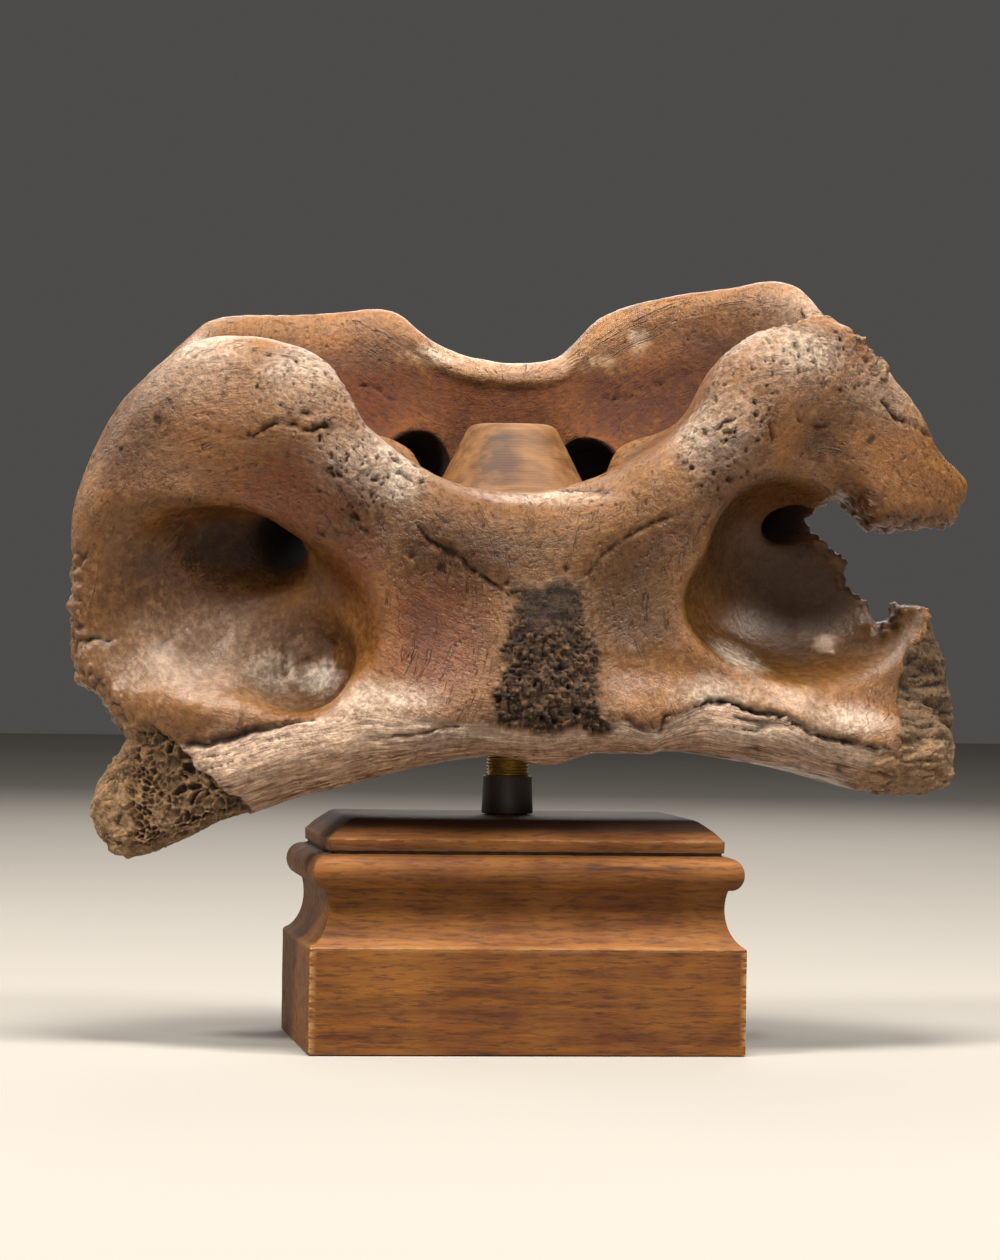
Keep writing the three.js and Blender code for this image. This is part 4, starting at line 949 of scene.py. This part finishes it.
makeBone(waxedFossilBone())
print("bone done")

base = {
    "width": 98, "depth": 70, "height": 52, "socket": (-0.8, 5.25, 29.7),  # socket: x, radius, floor
    "profile": [  # inset and height; a curve gives its start, two handles and end
        ("line", (0, 0)), ("line", (0, 23.4)), ("line", (0.5, 24)),
        ("curve", (1, 24.2), (4, 26.3), (5.3, 32), (3.7, 36.5)),
        ("curve", (2.8, 36.6), (-0.2, 37.2), (-0.6, 43.8), (4.3, 44)), ("line", (5.1, 44.2)), ("line", (5.1, 44.8)),
        ("line", (4.6, 44.9)), ("line", (4.5, 47.3)), ("line", (6.6, 49.4)), ("line", (9.6, 51.6)),
        ("line", (10.6, 52))],
    "spacing": 1.2, "cornerRadius": 0.45, "alongSides": (80, 58), "edgeAngle": 32,
    "rubbed": ((23.6, 0.2), (47.3, 4.5), (44.4, 4.6)),  # height and inset of the rubbed edges
    "dark": "#3a1a04", "light": "#84500f", "band": "#54290a", "cloud": "#8c5c22", "fleck": "#2e1505",
    "shadowBrown": "#241004", "worn": "#c8995f", "ior": 1.36,
    "bands": 420, "wide": 90, "flecks": 1500, "clouds": 45,  # to a metre: lumps of 2.4, 11, 0.7 and 22 mm
    "grainStretch": 0.09, "fleckStretch": 0.16,
}


def profilePoints():
    points = []
    for kind, *ends in base["profile"]:
        if kind == "curve":
            a, b, c, d = (np.array(end, float) for end in ends)
            for t in np.linspace(0, 1, 17):
                points.append((1 - t) ** 3 * a + 3 * (1 - t) ** 2 * t * b + 3 * (1 - t) * t * t * c + t ** 3 * d)
        else:
            points.append(np.array(ends[0], float))
    dense = [points[0]]
    for a, b in zip(points, points[1:]):
        steps = max(1, math.ceil(np.linalg.norm(b - a) / base["spacing"]))
        dense += [a + (b - a) * s / steps for s in range(1, steps + 1)]
    return np.array(dense)


def makeBase(material):
    halfX, halfY, radius = base["width"] / 2, base["depth"] / 2, base["cornerRadius"]

    def cornerPoint(signX, signY, degrees, inset, z):
        angle = math.radians(degrees)
        return (signX * (halfX - inset - radius) + radius * math.cos(angle),
                signY * (halfY - inset - radius) + radius * math.sin(angle), z)

    rings = []
    for inset, z in profilePoints():
        ring = []
        for signX, signY, start in ((1, -1, -90), (1, 1, 0), (-1, 1, 90), (-1, -1, 180)):
            ring += [cornerPoint(signX, signY, start + step * 22.5, inset, z) for step in range(5)]
            a = np.array(ring[-1])
            b = np.array(cornerPoint(-signY, signX, start + 90, inset, z))  # where the next corner begins
            count = base["alongSides"][1 if signX == -signY else 0]
            ring += [tuple(a + (b - a) * s / count) for s in range(1, count)]
        rings.append(ring)
    size = len(rings[0])
    points = np.array(rings).reshape(-1, 3)
    levels = [list(range(k * size, (k + 1) * size)) for k in range(len(rings) + 3)]
    # the top has a round socket for the rod
    socketX, socketRadius, socketFloor = base["socket"]
    angles = np.arctan2(points[levels[-4], 1], points[levels[-4], 0] - socketX)
    for radiusHere, z in ((socketRadius + 0.5, base["height"]), (socketRadius, base["height"] - 0.5),
                          (socketRadius, socketFloor)):
        ring = [socketX + radiusHere * np.cos(angles), radiusHere * np.sin(angles), np.full(size, float(z))]
        points = np.concatenate([points, np.stack(ring, 1)])
    faces = [(lower[i], lower[(i + 1) % size], upper[(i + 1) % size], upper[i])
             for lower, upper in zip(levels, levels[1:]) for i in range(size)]
    faces += [tuple(levels[0])[::-1], tuple(levels[-1])]
    # hand-finished: faces a little uneven, sharp edges rubbed
    x, y, z = points.T
    dx, dy = halfX - np.abs(x), halfY - np.abs(y)
    onSide = (z > 0.5) & (z < 51.5)
    sides = points[onSide]
    points[onSide] += (0.08 * noise(sides, 14, 5) + 0.04 * noise(sides, 4, 6))[:, None] * np.sign(sides) * (1, 1, 0)
    arris = np.minimum.reduce([np.hypot(z - edge, np.minimum(dx, dy) - inset) for edge, inset in base["rubbed"]])
    mitre = np.abs(dx - dy) + 0.6 * np.minimum(dx, dy)
    # painted shadow: the top, shaded by the bone above it, and the small groove under the fillet
    shadowedTopAndGroove = np.maximum(ramp(48.2, 50.6, z), fade(0.2, 0.9, np.abs(z - 44.5)))
    wear = np.maximum(0.45 * fade(0.1, 0.8, arris), fade(0.1, 0.9, mitre) * (z < 24.5))
    piece = makePiece("moulded_base", points, faces, "base", material, {"wear": wear, "shadowedTopAndGroove": shadowedTopAndGroove})
    piece.modifiers.new("edges", "EDGE_SPLIT").split_angle = math.radians(base["edgeAngle"])


def stainedWaxedBeech():  # planed beech, stained honey brown and waxed: fine flecks, satin, paler on rubbed edges
    material, tree, shader = newMaterial("stainedWaxedBeech")
    place = addNode(tree, "ShaderNodeTexCoord").outputs["Object"]
    along, short = (addNode(tree, "ShaderNodeMapping", {"Vector": place, "Scale": (base[key], 1, 1)}).outputs[0]
                    for key in ("grainStretch", "fleckStretch"))  # grain and flecks run left to right
    bands = noiseNode(tree, along, base["bands"], 6, 0.7, 0.3)
    wide = noiseNode(tree, along, base["wide"], 3, 0.6)
    flecks = noiseNode(tree, short, base["flecks"], 3, 0.6)
    cloud = noiseNode(tree, place, base["clouds"], 3, 0.6)
    fleck = rangeNode(tree, flecks, 0.5, 0.66)
    shadowedTopAndGroove, wear = (addNode(tree, "ShaderNodeAttribute", attribute_name=name).outputs["Fac"]
                    for name in ("shadowedTopAndGroove", "wear"))
    colour = mixColour(tree, rangeNode(tree, bands, 0.32, 0.7), base["dark"], base["light"])
    # one coat is painted shadow over the top and in the groove under the fillet
    for name, share in (("band", rangeNode(tree, wide, 0.35, 0.7, 0, 0.6)),
                        ("cloud", rangeNode(tree, cloud, 0.45, 0.75, 0, 0.45)),
                        ("fleck", product(tree, fleck, 0.55)), ("shadowBrown", product(tree, shadowedTopAndGroove, 0.92)),
                        ("worn", product(tree, wear, rangeNode(tree, flecks, 0.44, 0.56, 0, 0.6)))):
        colour = mixColour(tree, share, colour, base[name])
    bump = addNode(tree, "ShaderNodeBump", {"Height": bands, "Strength": 0.6, "Distance": 0.2 * mm})
    bump = addNode(tree, "ShaderNodeBump", {
        "Height": fleck, "Strength": 0.2, "Distance": 0.1 * mm, "Normal": bump.outputs[0]}, invert=True)
    surface(tree, shader, colour, rangeNode(tree, bands, 0.3, 0.7, 0.8, 0.62), bump, base["ior"])
    return material


makeBase(stainedWaxedBeech())
print("base done")

rod = {
    "x": -0.8, "foot": 30, "top": 136, "radius": 4.95, "pitch": 0.75, "depth": 0.36, "perTurn": 48,
    "thread": ((0.0, 0.0), (0.32, 1.0), (0.5, 1.0), (0.82, 0.0)),  # share of the pitch, share of the depth cut in
    "dull": "#8a6a2c", "bright": "#c09a4a", "tarnish": 160,  # tarnish in spots of 6 mm, 160 to a metre
}


def makeRod(material):
    perTurn = rod["perTurn"]
    count = (int((rod["top"] - rod["foot"]) / rod["pitch"]) - 1) * perTurn
    last = count + perTurn
    points = []
    for i in range(last + 1):
        angle = 2 * math.pi * i / perTurn
        for share, cut in rod["thread"]:
            radius = rod["radius"] - rod["depth"] * cut
            z = min(rod["foot"] + rod["pitch"] * (i / perTurn + share), rod["top"])
            points.append((rod["x"] + radius * math.cos(angle), radius * math.sin(angle), z))
    faces = []
    for i in range(last):
        for c in range(3):
            a, b = i * 4 + c, (i + 1) * 4 + c
            faces.append((a, b, b + 1, a + 1))
        if i < count:  # the crest runs on into the next turn
            a, b = i * 4 + 3, (i + 1) * 4 + 3
            faces.append((a, b, b + perTurn * 4 - 3, a + perTurn * 4 - 3))
    faces.append([1, 2, 3] + [i * 4 for i in range(perTurn, -1, -1)])  # closes the foot
    faces.append([i * 4 + 3 for i in range(count, last + 1)] + [last * 4 + 2, last * 4 + 1, last * 4])  # and the top
    makePiece("threaded_brass_rod", points, faces, "threaded_rod", material)


def turned(name, profile, steps, node, material):  # a closed profile of radius and height, spun about the rod
    points, faces = [], []
    size = len(profile)
    for i in range(steps):
        angle = 2 * math.pi * i / steps
        points += [(rod["x"] + r * math.cos(angle), r * math.sin(angle), z) for r, z in profile]
        j = (i + 1) % steps
        faces += [(i * size + k, j * size + k, j * size + (k + 1) % size, i * size + (k + 1) % size)
                  for k in range(size)]
    makePiece(name, points, faces, node, material)


def rounded(points, radius, steps=6):  # rounds the corners of a closed profile
    points = [np.array(p, float) for p in points]
    result = []
    for i, corner in enumerate(points):
        arms = [points[i - 1] - corner, points[(i + 1) % len(points)] - corner]
        reach = min(radius, *(0.45 * np.linalg.norm(arm) for arm in arms))
        a, b = (corner + arm / np.linalg.norm(arm) * reach for arm in arms)
        result += [(1 - t) ** 2 * a + 2 * t * (1 - t) * corner + t * t * b for t in np.linspace(0, 1, steps)]
    return result


def threadedBrass():  # cut thread on a brass tube, dulled by handling
    material, tree, shader = newMaterial("threadedBrass")
    tarnish = noiseNode(tree, addNode(tree, "ShaderNodeTexCoord").outputs["Object"], rod["tarnish"], 4, 0.6)
    colour = mixColour(tree, rangeNode(tree, tarnish, 0.35, 0.7), rod["dull"], rod["bright"])
    surface(tree, shader, colour, rangeNode(tree, tarnish, 0, 1, 0.45, 0.25))
    shader.inputs["Metallic"].default_value = 1.0
    return material


makeRod(threadedBrass())

collar = {"inner": 5.25, "foot": 52.3, "top": 60.9, "radii": (5.9, 5.55), "rounding": 0.25, "steps": 96,
          "dark": "#1c110a", "dusty": "#33231a", "dust": 400}  # dust in specks of 2.5 mm, 400 to a metre


def darkMouldedSleeve():  # moulded smooth in dark brown, slightly shiny under a little dust
    material, tree, shader = newMaterial("darkMouldedSleeve")
    dust = noiseNode(tree, addNode(tree, "ShaderNodeTexCoord").outputs["Object"], collar["dust"], 3, 0.6)
    colour = mixColour(tree, dust, collar["dark"], collar["dusty"])
    surface(tree, shader, colour, rangeNode(tree, dust, 0, 1, 0.35, 0.6))
    return material


(lower, upper), foot, top = collar["radii"], collar["foot"], collar["top"]
profile = [(collar["inner"], foot), (lower, foot), (upper, top), (collar["inner"], top)]
turned("rod_sleeve", rounded(profile, collar["rounding"], 4), collar["steps"], "rod_collar",
       darkMouldedSleeve())

cone = {
    "profile": [  # radius and height, with the bore for the rod
        (5.25, 121), (20, 121), (10.9, 139), (10.3, 140.2), (9.3, 141), (8.1, 141.4), (0.01, 141.4), (0.01, 136.3),
        (5.25, 136.3)],
    "rounding": 0.9, "steps": 160, "dark": "#56371a", "light": "#7c5733", "knot": "#24120a",
    "knotAt": (-0.0045, -0.014, 0.133), "knotShape": (1.0, 0.3, 0.55), "knotEdge": (0.0098, 0.0062),  # metres
    "knotRagged": 0.009, "ior": 1.36, "grain": 330, "toolRings": 500,  # to a metre: 3 mm grain, 2 mm rings
}


def oiledTurnedPear():  # pear wood turned on a lathe and oiled: close grain, fine tool rings, a dark knot
    material, tree, shader = newMaterial("oiledTurnedPear")
    place = addNode(tree, "ShaderNodeTexCoord").outputs["Object"]
    along = addNode(tree, "ShaderNodeMapping", {"Vector": place, "Scale": (0.15, 1, 1), "Rotation": (0, 0.35, 0)})
    bands = noiseNode(tree, along.outputs[0], cone["grain"], 4, 0.55)
    gap = addNode(tree, "ShaderNodeVectorMath", {0: place, 1: cone["knotAt"]}, operation="SUBTRACT")
    gap = addNode(tree, "ShaderNodeVectorMath", {0: gap.outputs[0], 1: cone["knotShape"]}, operation="MULTIPLY")
    gap = addNode(tree, "ShaderNodeVectorMath", {0: gap.outputs[0]}, operation="LENGTH").outputs["Value"]
    gap = mathNode(tree, "ADD", gap, product(tree, bands, cone["knotRagged"]))
    knot = rangeNode(tree, gap, *cone["knotEdge"], 0, 0.62)
    colour = mixColour(tree, rangeNode(tree, bands, 0.35, 0.7), cone["dark"], cone["light"])
    colour = mixColour(tree, knot, colour, cone["knot"])
    rings = addNode(tree, "ShaderNodeTexWave", {
        "Vector": place, "Scale": cone["toolRings"], "Distortion": 0.3}, bands_direction="Z")
    bump = addNode(tree, "ShaderNodeBump", {"Height": rings.outputs["Fac"], "Strength": 0.12, "Distance": 0.1 * mm})
    surface(tree, shader, colour, rangeNode(tree, bands, 0, 1, 0.5, 0.65), bump, cone["ior"])
    return material


turned("turned_cone", rounded(cone["profile"], cone["rounding"]), cone["steps"], "cone_nut",
       oiledTurnedPear())
print("stand done")

studio = {
    "floorSize": 6, "floorHeight": -0.0003, "floor": "#8c8882", "floorRoughness": 0.9,
    "sky": "#dddbd7", "skyStrength": 0.1, "warmth": (1.0, 0.95, 0.88),
    "lights": [  # name, place, size, power in watts
        ("top", (0.0, -0.25, 1.1), 0.3, 20), ("left key", (-0.65, -0.45, 0.95), 0.22, 15),
        ("right key", (0.68, -0.45, 0.95), 0.22, 15), ("front fill", (-0.1, -1.3, 0.5), 1.0, 3.5),
        ("left rim", (-0.6, 0.5, 0.5), 0.35, 3), ("back fill", (0.25, 1.15, 0.8), 0.8, 9)],
    "aim": (0, 0, 0.1),
}


def paleFloorPaint():  # matt paint rolled on a smooth floor: no gloss, only soft shadows
    material, _, shader = newMaterial("paleMattFloor")
    shader.inputs["Base Color"].default_value = linearColour(studio["floor"])
    shader.inputs["Roughness"].default_value = studio["floorRoughness"]
    return material


half = studio["floorSize"] / 2
corners = [(x * half, y * half, studio["floorHeight"]) for x, y in ((-1, -1), (1, -1), (1, 1), (-1, 1))]
floorMesh = bpy.data.meshes.new("studio_floor")
floorMesh.from_pydata(corners, [], [(0, 1, 2, 3)])
floorMesh.materials.append(paleFloorPaint())
floor = bpy.data.objects.new("studio_floor", floorMesh)
bpy.context.scene.collection.objects.link(floor)

world = bpy.data.worlds.new("paleStudio")
world.use_nodes = True
sky = world.node_tree.nodes["Background"]
sky.inputs["Color"].default_value = linearColour(studio["sky"])
sky.inputs["Strength"].default_value = studio["skyStrength"]
bpy.context.scene.world = world
for name, place, size, power in studio["lights"]:
    light = bpy.data.lights.new(name, "AREA")
    light.energy, light.size, light.color = power, size, studio["warmth"]
    lamp = bpy.data.objects.new(name, light)
    lamp.location = place
    lamp.rotation_euler = (Vector(studio["aim"]) - Vector(place)).to_track_quat("-Z", "Y").to_euler()
    bpy.context.scene.collection.objects.link(lamp)

view = {"azimuth": -7.549, "roll": 0.788, "distance": 1.07954, "eye": 0.09426, "aside": -0.00299, "lens": 169.54,
        "sensor": 36, "reach": 20}
turn = math.radians(view["azimuth"])
right, forward = Vector((math.cos(turn), math.sin(turn), 0)), Vector((-math.sin(turn), math.cos(turn), 0))
up = Vector((0, 0, 1))
camera = bpy.data.objects.new("camera", bpy.data.cameras.new("camera"))
camera.data.sensor_fit = "HORIZONTAL"
camera.data.sensor_width = view["sensor"]
camera.data.lens = view["lens"]
camera.data.clip_end = view["reach"]
spot = -forward * view["distance"] + up * view["eye"] + right * view["aside"]
pose = Matrix((right, up, -forward)).transposed().to_4x4() @ Matrix.Rotation(math.radians(view["roll"]), 4, "Z")
camera.matrix_world = Matrix.Translation(spot) @ pose
bpy.context.scene.collection.objects.link(camera)
bpy.context.scene.camera = camera
bpy.context.scene.view_settings.view_transform = "Standard"
